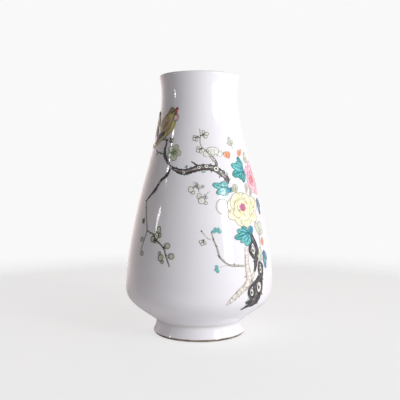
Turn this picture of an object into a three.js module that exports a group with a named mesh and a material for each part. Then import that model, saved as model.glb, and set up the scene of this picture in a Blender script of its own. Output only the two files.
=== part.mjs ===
// Porcelain table vase: thrown sections luted together with slip, coated in clear glaze, and painted
// with raised overglaze enamels. Millimetres, +Z up, origin at the centre of the foot's resting face.
// The painted front faces -Y. A place on the wall is an angle from the front, in degrees, positive
// towards +X, with a height above the resting face.
import * as THREE from "three";

const vaseHeight = 240;
const turnedFacets = 32;

// Wall layers, outside to inside: glaze, porcelain paste, glaze.
const glazeCoat = 0.4;
const coatGap = 0.05;
const bodyWall = 3.4;
const lipWall = 2.2;
const slipSeam = 0.4;

// Luting joints between the thrown sections, and the turned foot.
const footJoint = 13;
const bellyJoint = 110;
const neckJoint = 186;
const floorUnder = 9.4;
const footInside = 36.5;
const footClear = 0.1;
const glazeStop = 2.4;
const glazeTurnIn = 234;

// Raised enamel: painted in two layers, so that flowers lie over the branches behind them.
const enamelClear = 0.2;
const enamelThick = 0.3;
const enamelLayer = 0.5;

// Outlines of the glazed outside, from the bottom up: height, radius, slope in radius per height.
const footOutline = [
  [glazeStop, 43.1, -0.4],
  [footJoint, 40.4, 0.05],
];
const bodyOutline = [
  [footJoint, 40.4, 1.3],
  [34, 66.2, 0.7],
  [44, 69, 0],
  [110, 59.7, -0.21],
  [180, 41.7, -0.23],
  [216, 35.35, -0.06],
  [vaseHeight, 37.4, 0.24],
];

// Heights where a turned wall gets a ring of vertices.
const footRings = [glazeStop, 6, 9.5, footJoint];
const bodyRings = [19, 27, 35, 40, 46, 64, 86, 110, 134, 160, 186, 200, 212, 224];

const colours = {
  glaze: 0xe9e8ec,
  paste: 0xefe9dd,
  slip: 0xe6dccb,
  bark: 0x3c3434,
  paleBark: 0xd9cfc6,
  twig: 0x5c5750,
  prunus: 0xdfe2d2,
  bud: 0xb9bba2,
  teal: 0x3fb5b0,
  blue: 0x6f9fbf,
  yellow: 0xf1edb0,
  pink: 0xf49ab5,
  orange: 0xf09a5a,
  paleGreen: 0xd3decb,
  olive: 0x9d9a45,
};

const roughness = {
  glaze: 0.08,
  coveredGlaze: 0.1,
  paste: 0.8,
  bareFoot: 0.9,
  slip: 0.85,
  enamel: 0.35,
};

function outlineAt(knots, height) {
  let index = 0;
  while (index < knots.length - 2 && height > knots[index + 1][0]) index += 1;
  const [lowHeight, lowRadius, lowSlope] = knots[index];
  const [highHeight, highRadius, highSlope] = knots[index + 1];
  const span = highHeight - lowHeight;
  const t = (height - lowHeight) / span;
  const rise = t * t * (3 - 2 * t);
  const lowBend = t * (1 - t) * (1 - t) * span;
  const highBend = t * t * (t - 1) * span;
  const radius = lowRadius + (highRadius - lowRadius) * rise + lowSlope * lowBend + highSlope * highBend;
  const chord = (6 * t * (1 - t) * (highRadius - lowRadius)) / span;
  const slope = chord + lowSlope * (1 - t) * (1 - 3 * t) + highSlope * t * (3 * t - 2);
  return { radius, slope };
}

// A point of the turned wall, at a depth measured square to the outside.
function wallPoint(height, depth) {
  const knots = height <= footJoint ? footOutline : bodyOutline;
  const { radius, slope } = outlineAt(knots, height);
  return new THREE.Vector2(radius - depth * Math.hypot(1, slope), height);
}

// The paste thins from the neck joint up to the lip.
function pasteAt(height) {
  return THREE.MathUtils.mapLinear(Math.max(height, neckJoint), neckJoint, vaseHeight, bodyWall, lipWall);
}

const pasteOut = glazeCoat + coatGap;
const pasteIn = (height) => pasteOut + pasteAt(height);
const coatOut = (height) => pasteIn(height) + coatGap;
const coatIn = (height) => coatOut(height) + glazeCoat;

// The lip is a half round as thick as the whole wall there.
const lipRadius = (lipWall + 2 * glazeCoat + 2 * coatGap) / 2;
const lipHeight = vaseHeight - lipRadius;

function lipArc(depth) {
  const { radius, slope } = outlineAt(bodyOutline, lipHeight);
  const stretch = Math.hypot(1, slope);
  const points = [];
  for (let step = 0; step <= 4; step += 1) {
    const turn = (Math.PI * step) / 4;
    const across = radius - lipRadius * stretch + (lipRadius - depth) * stretch * Math.cos(turn);
    points.push(new THREE.Vector2(across, lipHeight + (lipRadius - depth) * Math.sin(turn)));
  }
  return points;
}

function ringsBetween(low, high) {
  const inside = bodyRings.filter((height) => height > low && height < high);
  return [low, ...inside, high];
}

const vase = new THREE.Group();

function addPiece(name, geometry, colour, rough) {
  const material = new THREE.MeshStandardMaterial({ color: colour, roughness: rough, metalness: 0 });
  const mesh = new THREE.Mesh(geometry, material);
  mesh.name = name;
  vase.add(mesh);
}

// Turns an outline, given up the outside and back down the inside, round the vase's axis.
function turned(outline) {
  const closed = outline[0].x === 0 ? outline : [...outline, outline[0].clone()];
  const geometry = new THREE.LatheGeometry(closed, turnedFacets);
  return geometry.rotateX(Math.PI / 2);
}

function addThrownSection(name, low, high) {
  const heights = ringsBetween(low, high);
  const outside = heights.map((height) => wallPoint(height, pasteOut));
  const inside = heights.map((height) => wallPoint(height, pasteIn(height))).reverse();
  addPiece(name, turned([...outside, ...inside]), colours.paste, roughness.paste);
}

function addNeckSection(low) {
  const heights = [low, ...bodyRings.filter((height) => height > low)];
  const outside = heights.map((height) => wallPoint(height, pasteOut));
  const inside = heights.map((height) => wallPoint(height, pasteIn(height))).reverse();
  const outline = [...outside, ...lipArc(pasteOut), ...inside];
  addPiece("neck_section", turned(outline), colours.paste, roughness.paste);
}

function addLutingSeam(name, height) {
  const low = height - slipSeam / 2;
  const high = height + slipSeam / 2;
  const outline = [
    wallPoint(low, pasteOut),
    wallPoint(high, pasteOut),
    wallPoint(high, pasteIn(high)),
    wallPoint(low, pasteIn(low)),
  ];
  addPiece(name, turned(outline), colours.slip, roughness.slip);
}

const seamHalf = slipSeam / 2 + coatGap;
const footSeamLow = footJoint;
const footSeamHigh = footJoint + slipSeam;
const bodyStart = footSeamHigh + footClear;
const floorTop = footJoint - footClear;

addThrownSection("lower_body_section", bodyStart, bellyJoint - seamHalf);
addThrownSection("upper_body_section", bellyJoint + seamHalf, neckJoint - seamHalf);
addNeckSection(neckJoint + seamHalf);
addLutingSeam("belly_luting_seam", bellyJoint);
addLutingSeam("neck_luting_seam", neckJoint);

function addFoot() {
  const bevel = 1.2;
  const restOutside = 41.4;
  const restInside = 37.9;
  const ring = [
    new THREE.Vector2(restInside, 0),
    new THREE.Vector2(restOutside, 0),
    new THREE.Vector2(restOutside + bevel, bevel),
    ...footRings.slice(0, -1).map((height) => wallPoint(height, pasteOut)),
    wallPoint(floorTop, pasteOut),
    new THREE.Vector2(footInside, floorTop),
    new THREE.Vector2(footInside, 2 * bevel),
  ];
  addPiece("foot_ring", turned(ring), colours.paste, roughness.bareFoot);

  const floorRadius = footInside - 3 * footClear;
  const floor = [
    new THREE.Vector2(0, floorUnder),
    new THREE.Vector2(floorRadius, floorUnder),
    new THREE.Vector2(floorRadius, floorTop),
    new THREE.Vector2(0, floorTop),
  ];
  addPiece("base_floor", turned(floor), colours.paste, roughness.paste);

  const seamInside = wallPoint(bodyStart, pasteIn(bodyStart)).x;
  const seamOutside = wallPoint(footJoint, pasteOut).x - coatGap;
  const seam = [
    new THREE.Vector2(seamInside, footSeamLow),
    new THREE.Vector2(seamOutside, footSeamLow),
    new THREE.Vector2(seamOutside, footSeamHigh),
    new THREE.Vector2(seamInside, footSeamHigh),
  ];
  addPiece("foot_luting_seam", turned(seam), colours.slip, roughness.slip);
}
addFoot();

function addOuterGlaze() {
  const heights = [...footRings, ...bodyRings];
  const outside = heights.map((height) => wallPoint(height, 0));
  const against = heights.map((height) => wallPoint(height, glazeCoat)).reverse();
  const turnIn = [
    wallPoint(glazeTurnIn, coatIn(glazeTurnIn)),
    wallPoint(glazeTurnIn, coatOut(glazeTurnIn)),
  ];
  const lip = lipArc(0);
  const underLip = lipArc(glazeCoat).reverse();
  const outline = [...outside, ...lip, ...turnIn, ...underLip, ...against];
  addPiece("outer_glaze", turned(outline), colours.glaze, roughness.glaze);
}
addOuterGlaze();

function addInnerGlaze() {
  const heights = ringsBetween(bodyStart, glazeTurnIn - coatGap);
  const floorLow = floorTop + coatGap;
  const floorFillet = 1;
  const against = heights.map((height) => wallPoint(height, coatOut(height)));
  const inside = heights.map((height) => wallPoint(height, coatIn(height))).reverse();
  const floorEdge = against[0].x - coatGap;
  inside[inside.length - 1] = new THREE.Vector2(floorEdge - floorFillet, floorLow + glazeCoat);
  const outline = [
    new THREE.Vector2(0, floorLow),
    new THREE.Vector2(floorEdge, floorLow),
    ...against,
    ...inside,
    new THREE.Vector2(0, floorLow + glazeCoat),
  ];
  addPiece("inner_glaze", turned(outline), colours.glaze, roughness.coveredGlaze);
}
addInnerGlaze();

function addBaseGlaze() {
  const ceiling = floorUnder - coatGap;
  const wall = footInside - coatGap;
  const skirt = 3;
  const outline = [
    new THREE.Vector2(0, ceiling - glazeCoat),
    new THREE.Vector2(wall - glazeCoat, ceiling - glazeCoat),
    new THREE.Vector2(wall - glazeCoat, skirt),
    new THREE.Vector2(wall, skirt),
    new THREE.Vector2(wall, ceiling),
    new THREE.Vector2(0, ceiling),
  ];
  addPiece("base_glaze", turned(outline), colours.glaze, roughness.coveredGlaze);
}
addBaseGlaze();

// A point over the glaze: angle and height on the wall, and lift square to it.
function onGlaze(angle, height, lift) {
  const { radius, slope } = outlineAt(bodyOutline, height);
  const reach = radius + lift * Math.hypot(1, slope);
  const turn = THREE.MathUtils.degToRad(angle);
  return new THREE.Vector3(reach * Math.sin(turn), -reach * Math.cos(turn), height);
}

function degreesPerMillimetre(height) {
  return THREE.MathUtils.radToDeg(1 / outlineAt(bodyOutline, height).radius);
}

// Moves every vertex of a flat blank on to the wall.
function layOnWall(blank, placeVertex) {
  const position = blank.attributes.position;
  const vertex = new THREE.Vector3();
  for (let index = 0; index < position.count; index += 1) {
    vertex.fromBufferAttribute(position, index);
    const placed = placeVertex(vertex);
    position.setXYZ(index, placed.x, placed.y, placed.z);
  }
  blank.computeVertexNormals();
  return blank;
}

function liftOf(layer, upper) {
  return enamelClear + layer * enamelLayer + (upper ? enamelThick : 0);
}

// A painted stroke along a route of angle, height and width.
function addStroke({ name, route, steps, across = 1, layer = 0, colour }) {
  const spine = new THREE.CatmullRomCurve3(route.map((place) => new THREE.Vector3(...place)));
  const blank = new THREE.BoxGeometry(1, 1, 1, steps, across, 1);
  const plate = layOnWall(blank, ({ x, y, z }) => {
    const along = x + 0.5;
    const centre = spine.getPoint(along);
    const heading = spine.getTangent(along);
    const turnRate = degreesPerMillimetre(centre.y);
    const forward = new THREE.Vector2(heading.x / turnRate, heading.y).normalize();
    const side = y * centre.z;
    const angle = centre.x - forward.y * side * turnRate;
    return onGlaze(angle, centre.y + forward.x * side, liftOf(layer, z > 0));
  });
  addPiece(name, plate, colour, roughness.enamel);
}

// A painted patch round a centre, lobed like a blossom, leaf or flower head.
function addPatch(patch) {
  const { name, at, reach, colour } = patch;
  const { lobes = 0, notch = 0, turn = 0, rings = 1, facets = 12, layer = 1 } = patch;
  const flat = [];
  for (let ring = 0; ring <= rings; ring += 1) flat.push(ring / rings);
  const blankOutline = [
    ...flat.map((radius) => new THREE.Vector2(radius, 0)),
    ...flat.map((radius) => new THREE.Vector2(radius, 1)).reverse(),
  ];
  const blank = new THREE.LatheGeometry(blankOutline, facets);
  const [angle, height] = at;
  const turnRate = degreesPerMillimetre(height);
  const plate = layOnWall(blank, ({ x, y, z }) => {
    const round = Math.atan2(-z, x) - THREE.MathUtils.degToRad(turn);
    const trim = 1 - (notch * (1 - Math.cos(lobes * round))) / 2;
    const aside = x * reach[0] * trim;
    const above = -z * reach[1] * trim;
    return onGlaze(angle + aside * turnRate, height + above, liftOf(layer, y > 0.5));
  });
  addPiece(name, plate, colour, roughness.enamel);
}

const strokes = [
  {
    name: "bough_enamel",
    route: [
      [-29.5, 155.3, 2.6], [-23, 152, 4], [-16, 151, 4.6], [-8, 152.3, 4.6], [0.5, 154.5, 5.4],
      [9, 155, 5], [17, 153.6, 5.4], [23, 149.6, 5], [27, 146.2, 4.4], [30, 144.2, 2],
    ],
    steps: 26,
    across: 2,
    colour: colours.bark,
  },
  {
    name: "perch_branch_enamel",
    route: [
      [-33, 157.3, 2], [-38, 161.5, 2.4], [-42, 165.5, 2.8], [-44, 170, 2.6], [-44, 176, 2],
      [-47, 179, 1.6], [-53, 180, 1.3], [-60, 177.5, 1.2], [-66, 174, 1.1],
    ],
    steps: 20,
    colour: colours.bark,
  },
  {
    name: "perch_twig_enamel",
    route: [[-45.4, 166.8, 1.2], [-51, 167.6, 1.4], [-57, 168.8, 1.3], [-62.5, 170.8, 1.1]],
    steps: 6,
    colour: colours.twig,
  },
  {
    name: "far_twig_enamel",
    route: [[-68, 172.6, 1.2], [-76, 174.5, 1.2], [-85, 174, 1.1], [-93, 178, 1], [-99, 185, 0.8]],
    steps: 12,
    colour: colours.twig,
  },
  {
    name: "drooping_branch_enamel",
    route: [
      [-32.5, 153.2, 2], [-35, 147.8, 2.1], [-40.1, 144, 2.2], [-46.4, 135.3, 2.4],
      [-54.2, 127.8, 2.2], [-56.4, 124.9, 2], [-53.6, 116.5, 1.8], [-50, 106.7, 1.6],
      [-47.9, 99.6, 1.5], [-50, 89.6, 1.3], [-52.2, 81.9, 1],
    ],
    steps: 30,
    colour: colours.bark,
  },
  {
    name: "drooping_twig_enamel",
    route: [
      [-45.9, 98.9, 1.2], [-43, 98, 1.2], [-39.7, 97, 1.2], [-36.4, 93.4, 1.1],
      [-34.8, 91.6, 1.2], [-28.1, 85.8, 1.3], [-25.9, 80, 1.2], [-22.2, 70.6, 1],
    ],
    steps: 16,
    colour: colours.twig,
  },
  {
    name: "upper_twig_enamel",
    route: [[0.2, 189, 0.9], [0.6, 183, 1], [0.6, 177, 1.1], [4, 171.9, 1.1], [8.5, 169.9, 1]],
    steps: 12,
    colour: colours.twig,
  },
  {
    name: "profile_blossom_stem_enamel",
    route: [[14, 164.4, 1.6], [16.4, 161.6, 1.8], [18.3, 158.6, 2.2]],
    steps: 4,
    colour: colours.paleBark,
  },
  {
    name: "dark_trunk_enamel",
    route: [
      [46.6, 98.4, 4], [47.2, 91, 6], [46.2, 84, 9], [46.2, 78.5, 6], [47, 73, 5.2],
      [50, 66.5, 11], [49.6, 58.5, 10], [46, 50, 13.4], [43.4, 42, 12], [40.6, 36, 8],
    ],
    steps: 22,
    across: 3,
    colour: colours.bark,
  },
  {
    name: "pale_trunk_enamel",
    route: [
      [38.4, 86, 3], [38.2, 79, 4.4], [37.8, 72, 4.4], [38.8, 64, 6], [39, 58, 6],
      [36, 53, 5.8], [31.5, 49.5, 5.4], [27, 45.5, 4.8], [22.5, 41, 3.4], [20, 38, 1.6],
    ],
    steps: 18,
    across: 2,
    colour: colours.paleBark,
  },
  {
    name: "side_branch_enamel",
    route: [
      [35, 70.7, 1.8], [30.5, 71.3, 1.6], [26, 71.3, 1.6], [20.5, 73.5, 1.3], [15, 79.5, 1.2],
      [13.2, 87, 1], [10.8, 94, 1], [9.6, 100.3, 0.8],
    ],
    steps: 16,
    colour: colours.paleBark,
  },
  {
    name: "side_twig_enamel",
    route: [[9.2, 93.7, 0.9], [6, 95.4, 0.9], [1.9, 100.9, 1]],
    steps: 5,
    colour: colours.twig,
  },
  {
    name: "bird_enamel",
    route: [
      [-30.8, 207, 2.4], [-35.5, 205.4, 6], [-41, 201.2, 9], [-47, 195.5, 12],
      [-53, 190, 11], [-60, 184.3, 7], [-66, 180, 4.4], [-72, 176.4, 2.2],
    ],
    steps: 16,
    across: 3,
    layer: 1,
    colour: colours.olive,
  },
  {
    name: "companion_bird_enamel",
    route: [
      [-85.5, 208, 2], [-81.5, 206.4, 5], [-77.5, 202.4, 7], [-74, 197.5, 8],
      [-71.8, 192, 6.4], [-71.4, 186.4, 3.4],
    ],
    steps: 10,
    across: 2,
    layer: 1,
    colour: colours.olive,
  },
];

const fivePetals = { lobes: 5, notch: 0.3, turn: 90, facets: 20, rings: 2, colour: colours.prunus };
const smallPetals = { lobes: 5, notch: 0.25, turn: 90, facets: 20, colour: colours.prunus };
const roundPetal = { facets: 20, rings: 2, colour: colours.prunus };
const prunusBud = { facets: 10, colour: colours.bud };
const sprigLeaf = { facets: 10, colour: colours.teal };
const orangeBud = { facets: 10, colour: colours.orange };
const paleLeaf = { facets: 12, colour: colours.paleGreen };
const cutLeaf = { lobes: 5, notch: 0.35, facets: 20, rings: 2, colour: colours.teal };
const blueLeaf = { ...cutLeaf, colour: colours.blue };
const peonyHead = { lobes: 7, notch: 0.1, facets: 28, rings: 4 };

const patches = [
  { name: "open_blossom_enamel", at: [-30, 168], reach: [7.5, 7.3], ...fivePetals },
  { name: "perch_bud_enamel", at: [-35.6, 178.7], reach: [3.2, 2.6], ...prunusBud },
  { name: "far_blossom_enamel", at: [-92, 186], reach: [4.4, 4.4], ...smallPetals },
  { name: "blossom_upper_right_enamel", at: [7.4, 183.6], reach: [4, 4], ...smallPetals },
  { name: "blossom_upper_left_enamel", at: [-4.6, 180.5], reach: [3.4, 3.4], ...smallPetals },
  { name: "blossom_upper_low_enamel", at: [-0.8, 170.2], reach: [3.6, 3.5], ...smallPetals },
  { name: "profile_blossom_enamel", at: [15.8, 168.4], reach: [8, 4.4], ...roundPetal },
  { name: "blossom_pair_enamel", at: [-2.8, 137.6], reach: [7, 4.6], ...smallPetals, rings: 2 },
  { name: "blossom_lower_enamel", at: [3.5, 128.5], reach: [4.8, 5], ...smallPetals },
  { name: "white_side_petal_enamel", at: [20.6, 121.4], reach: [5.8, 6.4], ...roundPetal, layer: 0 },
  { name: "blossom_cluster_enamel", at: [-36.3, 96.3], reach: [5.6, 6.4], ...smallPetals, rings: 2 },
  { name: "blossom_side_enamel", at: [-29.9, 77.8], reach: [3.2, 4.2], ...smallPetals },
  { name: "droop_bud_right_enamel", at: [-25, 88], reach: [2.8, 2.6], ...prunusBud },
  { name: "droop_bud_low_enamel", at: [-21.1, 79.4], reach: [2.8, 2.6], ...prunusBud },
  { name: "droop_bud_tip_enamel", at: [-50, 79.4], reach: [2.6, 2.4], ...prunusBud },
  { name: "droop_bud_mid_enamel", at: [-53, 91.6], reach: [2.6, 2], ...prunusBud },
  { name: "droop_bud_high_enamel", at: [-55.4, 107.8], reach: [2.6, 2], ...prunusBud },
  { name: "grey_blossom_enamel", at: [3.2, 92.6], reach: [3.4, 3.3], ...smallPetals, colour: colours.bud },
  { name: "teal_leaf_small_enamel", at: [21, 137.8], reach: [8.6, 6], ...cutLeaf, turn: 150 },
  { name: "teal_leaf_upper_enamel", at: [44, 153.6], reach: [8, 10], ...cutLeaf, turn: 120 },
  { name: "teal_leaf_lower_enamel", at: [38, 94.9], reach: [11.6, 8], ...cutLeaf, turn: 160 },
  { name: "teal_leaf_far_enamel", at: [104, 146], reach: [7.5, 8], ...cutLeaf, turn: 30 },
  { name: "sprig_leaf_upper_enamel", at: [14, 100.4], reach: [3.6, 2.8], ...sprigLeaf },
  { name: "sprig_leaf_lower_enamel", at: [12.9, 69.6], reach: [2.8, 3.1], ...sprigLeaf },
  { name: "blue_leaf_upper_enamel", at: [69.6, 119.4], reach: [5.2, 7.2], ...blueLeaf, turn: 180 },
  { name: "blue_leaf_lower_enamel", at: [63.3, 72.2], reach: [5.6, 8.4], ...blueLeaf, turn: 200 },
  { name: "yellow_peony_enamel", at: [43, 118.4], reach: [20.4, 14.4], ...peonyHead, colour: colours.yellow },
  { name: "pink_peony_enamel", at: [74.6, 145], reach: [18.2, 13.6], ...peonyHead, colour: colours.pink },
  { name: "orange_bud_left_enamel", at: [32.9, 166.6], reach: [3.9, 3.4], ...orangeBud },
  { name: "orange_bud_right_enamel", at: [53, 168.9], reach: [4.2, 2.5], ...orangeBud },
  { name: "orange_bud_low_enamel", at: [60, 88.4], reach: [4, 2.7], ...orangeBud },
  { name: "pale_leaf_bud_enamel", at: [40.6, 177.6], reach: [3.2, 4], ...paleLeaf },
  { name: "pale_leaf_upper_enamel", at: [64.4, 164], reach: [5, 4.2], ...paleLeaf },
  { name: "pale_leaf_right_enamel", at: [60, 100.4], reach: [7.4, 5], ...paleLeaf, facets: 14, rings: 2 },
  { name: "pale_leaf_low_enamel", at: [55.4, 79.6], reach: [3.3, 5], ...paleLeaf },
];

for (const stroke of strokes) addStroke(stroke);
for (const patch of patches) addPatch(patch);

export default vase;
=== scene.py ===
import math
import bpy
import numpy as np
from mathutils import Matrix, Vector


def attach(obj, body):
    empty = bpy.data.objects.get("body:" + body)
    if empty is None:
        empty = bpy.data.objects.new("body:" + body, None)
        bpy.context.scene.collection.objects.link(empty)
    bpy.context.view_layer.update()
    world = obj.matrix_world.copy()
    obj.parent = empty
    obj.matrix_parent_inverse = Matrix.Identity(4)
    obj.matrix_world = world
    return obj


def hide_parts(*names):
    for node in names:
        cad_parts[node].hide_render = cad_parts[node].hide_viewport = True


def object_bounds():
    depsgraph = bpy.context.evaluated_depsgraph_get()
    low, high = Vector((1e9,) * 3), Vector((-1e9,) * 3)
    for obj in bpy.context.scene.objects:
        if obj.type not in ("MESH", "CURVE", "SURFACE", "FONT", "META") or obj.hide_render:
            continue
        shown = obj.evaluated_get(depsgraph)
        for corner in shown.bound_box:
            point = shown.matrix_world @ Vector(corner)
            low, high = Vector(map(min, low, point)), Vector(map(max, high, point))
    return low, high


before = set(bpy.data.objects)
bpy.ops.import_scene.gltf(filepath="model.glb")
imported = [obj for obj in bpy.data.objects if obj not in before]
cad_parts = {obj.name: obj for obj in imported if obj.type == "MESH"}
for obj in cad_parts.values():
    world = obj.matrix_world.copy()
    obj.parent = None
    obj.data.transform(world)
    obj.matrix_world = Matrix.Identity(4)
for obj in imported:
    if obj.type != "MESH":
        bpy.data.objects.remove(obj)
cadLow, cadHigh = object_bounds()
print("frame:", len(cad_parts), "nodes")

mm = 0.001

# The vase's wall, as [height, radius, slope] knots of the glazed outside, in millimetres.
vase = dict(
    height=cadHigh.z / mm,
    foot=[(2.4, 43.1, -0.4), (13, 40.4, 0.05)],
    body=[(13, 40.4, 1.3), (34, 66.2, 0.7), (44, 69, 0), (110, 59.7, -0.21),
          (180, 41.7, -0.23), (216, 35.35, -0.06), (cadHigh.z / mm, 37.4, 0.24)],
    bellyJoint=110,
    neckJoint=186,
)


def addNode(tree, kind, settings=None, inputs=None):
    node = tree.nodes.new(kind)
    for name, value in (settings or {}).items():
        setattr(node, name, value)
    for name, value in (inputs or {}).items():
        if isinstance(value, bpy.types.NodeSocket):
            tree.links.new(value, node.inputs[name])
        else:
            node.inputs[name].default_value = value
    return node


def linear(hexColour):
    channels = [int(hexColour[i:i + 2], 16) / 255 for i in (1, 3, 5)]
    return [c / 12.92 if c <= 0.04045 else ((c + 0.055) / 1.055) ** 2.4 for c in channels] + [1]


def outlineAt(knots, height):
    knots = np.array(knots, float)
    height = np.clip(np.asarray(height, float), knots[0, 0], knots[-1, 0])
    index = np.clip(np.searchsorted(knots[:, 0], height, side="right") - 1, 0, len(knots) - 2)
    lowHeight, lowRadius, lowSlope = np.moveaxis(knots[index], -1, 0)
    highHeight, highRadius, highSlope = np.moveaxis(knots[index + 1], -1, 0)
    span = highHeight - lowHeight
    t = (height - lowHeight) / span
    rise = t * t * (3 - 2 * t)
    bend = lowSlope * t * (1 - t) ** 2 * span + highSlope * t * t * (t - 1) * span
    radius = lowRadius + (highRadius - lowRadius) * rise + bend
    chord = 6 * t * (1 - t) * (highRadius - lowRadius) / span
    slope = chord + lowSlope * (1 - t) * (1 - 3 * t) + highSlope * t * (3 * t - 2)
    return radius, slope


# A point of the painted wall, in metres, and the way out of it. Angles run from the front, towards +X.
def onWall(angle, height, lift=0.0):
    radius, slope = outlineAt(vase["body"], height)
    stretch = np.hypot(1, slope)
    turn = np.radians(angle)
    across = np.stack([np.sin(turn), -np.cos(turn)], -1)
    out = np.concatenate([across, -slope[..., None]], -1) / stretch[..., None]
    foot = np.concatenate([across * radius[..., None], np.asarray(height, float)[..., None]], -1)
    return (foot + out * np.asarray(lift)[..., None]) * mm, out


def bakeMesh(piece):
    evaluated = piece.evaluated_get(bpy.context.evaluated_depsgraph_get())
    baked = bpy.data.meshes.new_from_object(evaluated)
    piece.modifiers.clear()
    piece.data = baked
    co = np.empty(len(baked.vertices) * 3)
    baked.vertices.foreach_get("co", co)
    co = co.reshape(-1, 3)
    baked.calc_loop_triangles()
    corners = np.empty(len(baked.loop_triangles) * 3, int)
    baked.loop_triangles.foreach_get("vertices", corners)
    a, b, c = (co[corners.reshape(-1, 3)[:, k]] for k in range(3))
    if np.einsum("ij,ij->i", a, np.cross(b, c)).sum() < 0:
        baked.flip_normals()
    return piece


def addPiece(name, mesh):
    piece = bpy.data.objects.new(name, mesh)
    bpy.context.collection.objects.link(piece)
    return piece


# Sets a Geometry Nodes modifier's inputs by their sockets' identifiers.
def runTree(piece, tree, values):
    modifier = piece.modifiers.new(tree.name, "NODES")
    modifier.node_group = tree
    for socket in tree.interface.items_tree:
        if socket.name in values:
            modifier[socket.identifier] = values[socket.name]
    return bakeMesh(piece)


def newTree(name, sockets):
    tree = bpy.data.node_groups.new(name, "GeometryNodeTree")
    for socket, kind in {"Geometry": "NodeSocketGeometry", **sockets}.items():
        tree.interface.new_socket(socket, in_out="INPUT", socket_type=kind)
    tree.interface.new_socket("Geometry", in_out="OUTPUT", socket_type="NodeSocketGeometry")
    return tree, addNode(tree, "NodeGroupInput").outputs


# Ends a tree: real geometry in the material that the tree is given.
def endTree(tree, shape, material):
    real = addNode(tree, "GeometryNodeRealizeInstances", None, {"Geometry": shape})
    painted = addNode(tree, "GeometryNodeSetMaterial", None, {
        "Geometry": real.outputs[0], "Material": material,
    })
    addNode(tree, "NodeGroupOutput", None, {0: painted.outputs[0]})
    return tree


# Turns the object's own polyline, x for radius and z for height, round the vase's axis.
def makeTurningTree():
    tree, given = newTree("turnOnAxis", {
        "Segments": "NodeSocketInt", "Crease Angle": "NodeSocketFloat", "Material": "NodeSocketMaterial",
    })
    size = addNode(tree, "GeometryNodeAttributeDomainSize", None, {"Geometry": given["Geometry"]})
    columns = addNode(tree, "ShaderNodeMath", None, {0: given["Segments"], 1: 1.0})
    grid = addNode(tree, "GeometryNodeMeshGrid", None, {
        "Vertices X": columns.outputs[0], "Vertices Y": size.outputs["Point Count"],
    })
    index = addNode(tree, "GeometryNodeInputIndex")
    share = addNode(tree, "ShaderNodeMath", {"operation": "DIVIDE"}, {
        0: index.outputs[0], 1: size.outputs["Point Count"],
    })
    column = addNode(tree, "ShaderNodeMath", {"operation": "FLOOR"}, {0: share.outputs[0]})
    row = addNode(tree, "ShaderNodeMath", {"operation": "FLOORED_MODULO"}, {
        0: index.outputs[0], 1: size.outputs["Point Count"],
    })
    turns = addNode(tree, "ShaderNodeMath", {"operation": "DIVIDE"}, {
        0: column.outputs[0], 1: given["Segments"],
    })
    angle = addNode(tree, "ShaderNodeMath", {"operation": "MULTIPLY"}, {0: turns.outputs[0], 1: math.tau})
    place = addNode(tree, "GeometryNodeInputPosition")
    profile = addNode(tree, "GeometryNodeSampleIndex", {"data_type": "FLOAT_VECTOR"}, {
        "Geometry": given["Geometry"], "Value": place.outputs[0], "Index": row.outputs[0],
    })
    turned = addNode(tree, "ShaderNodeVectorRotate", {"rotation_type": "Z_AXIS"}, {
        "Vector": profile.outputs[0], "Angle": angle.outputs[0],
    })
    placed = addNode(tree, "GeometryNodeSetPosition", None, {
        "Geometry": grid.outputs["Mesh"], "Position": turned.outputs[0],
    })
    closed = addNode(tree, "GeometryNodeMergeByDistance", None, {
        "Geometry": placed.outputs[0], "Distance": 0.002 * mm,
    })
    smooth = addNode(tree, "GeometryNodeSetShadeSmooth", None, {"Geometry": closed.outputs[0]})
    bend = addNode(tree, "GeometryNodeInputMeshEdgeAngle")
    sharp = addNode(tree, "FunctionNodeCompare", {"operation": "GREATER_THAN"}, {
        0: bend.outputs["Unsigned Angle"], 1: given["Crease Angle"],
    })
    creased = addNode(tree, "GeometryNodeSetShadeSmooth", {"domain": "EDGE"}, {
        "Geometry": smooth.outputs[0], "Selection": sharp.outputs[0], "Shade Smooth": False,
    })
    return endTree(tree, creased.outputs[0], given["Material"])


turningTree = makeTurningTree()


# Starts a finish, with the piece's own coordinates to carry its patterns.
def newFinish(name):
    material = bpy.data.materials.new(name)
    material.use_nodes = True
    tree = material.node_tree
    place = addNode(tree, "ShaderNodeTexCoord").outputs["Object"]
    return material, tree, tree.nodes["Principled BSDF"], place


# Gives a finish a gloss that varies with one pattern, and a relief that follows another.
def addSurface(tree, gloss, rough, relief, strength, depth):
    shader = tree.nodes["Principled BSDF"]
    sheen = addNode(tree, "ShaderNodeMapRange", None, {
        "Value": gloss.outputs["Fac"], "To Min": rough[0], "To Max": rough[1],
    })
    tree.links.new(sheen.outputs[0], shader.inputs["Roughness"])
    bump = addNode(tree, "ShaderNodeBump", None, {
        "Height": relief.outputs["Fac"], "Strength": strength, "Distance": depth * mm,
    })
    tree.links.new(bump.outputs[0], shader.inputs["Normal"])


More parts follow.
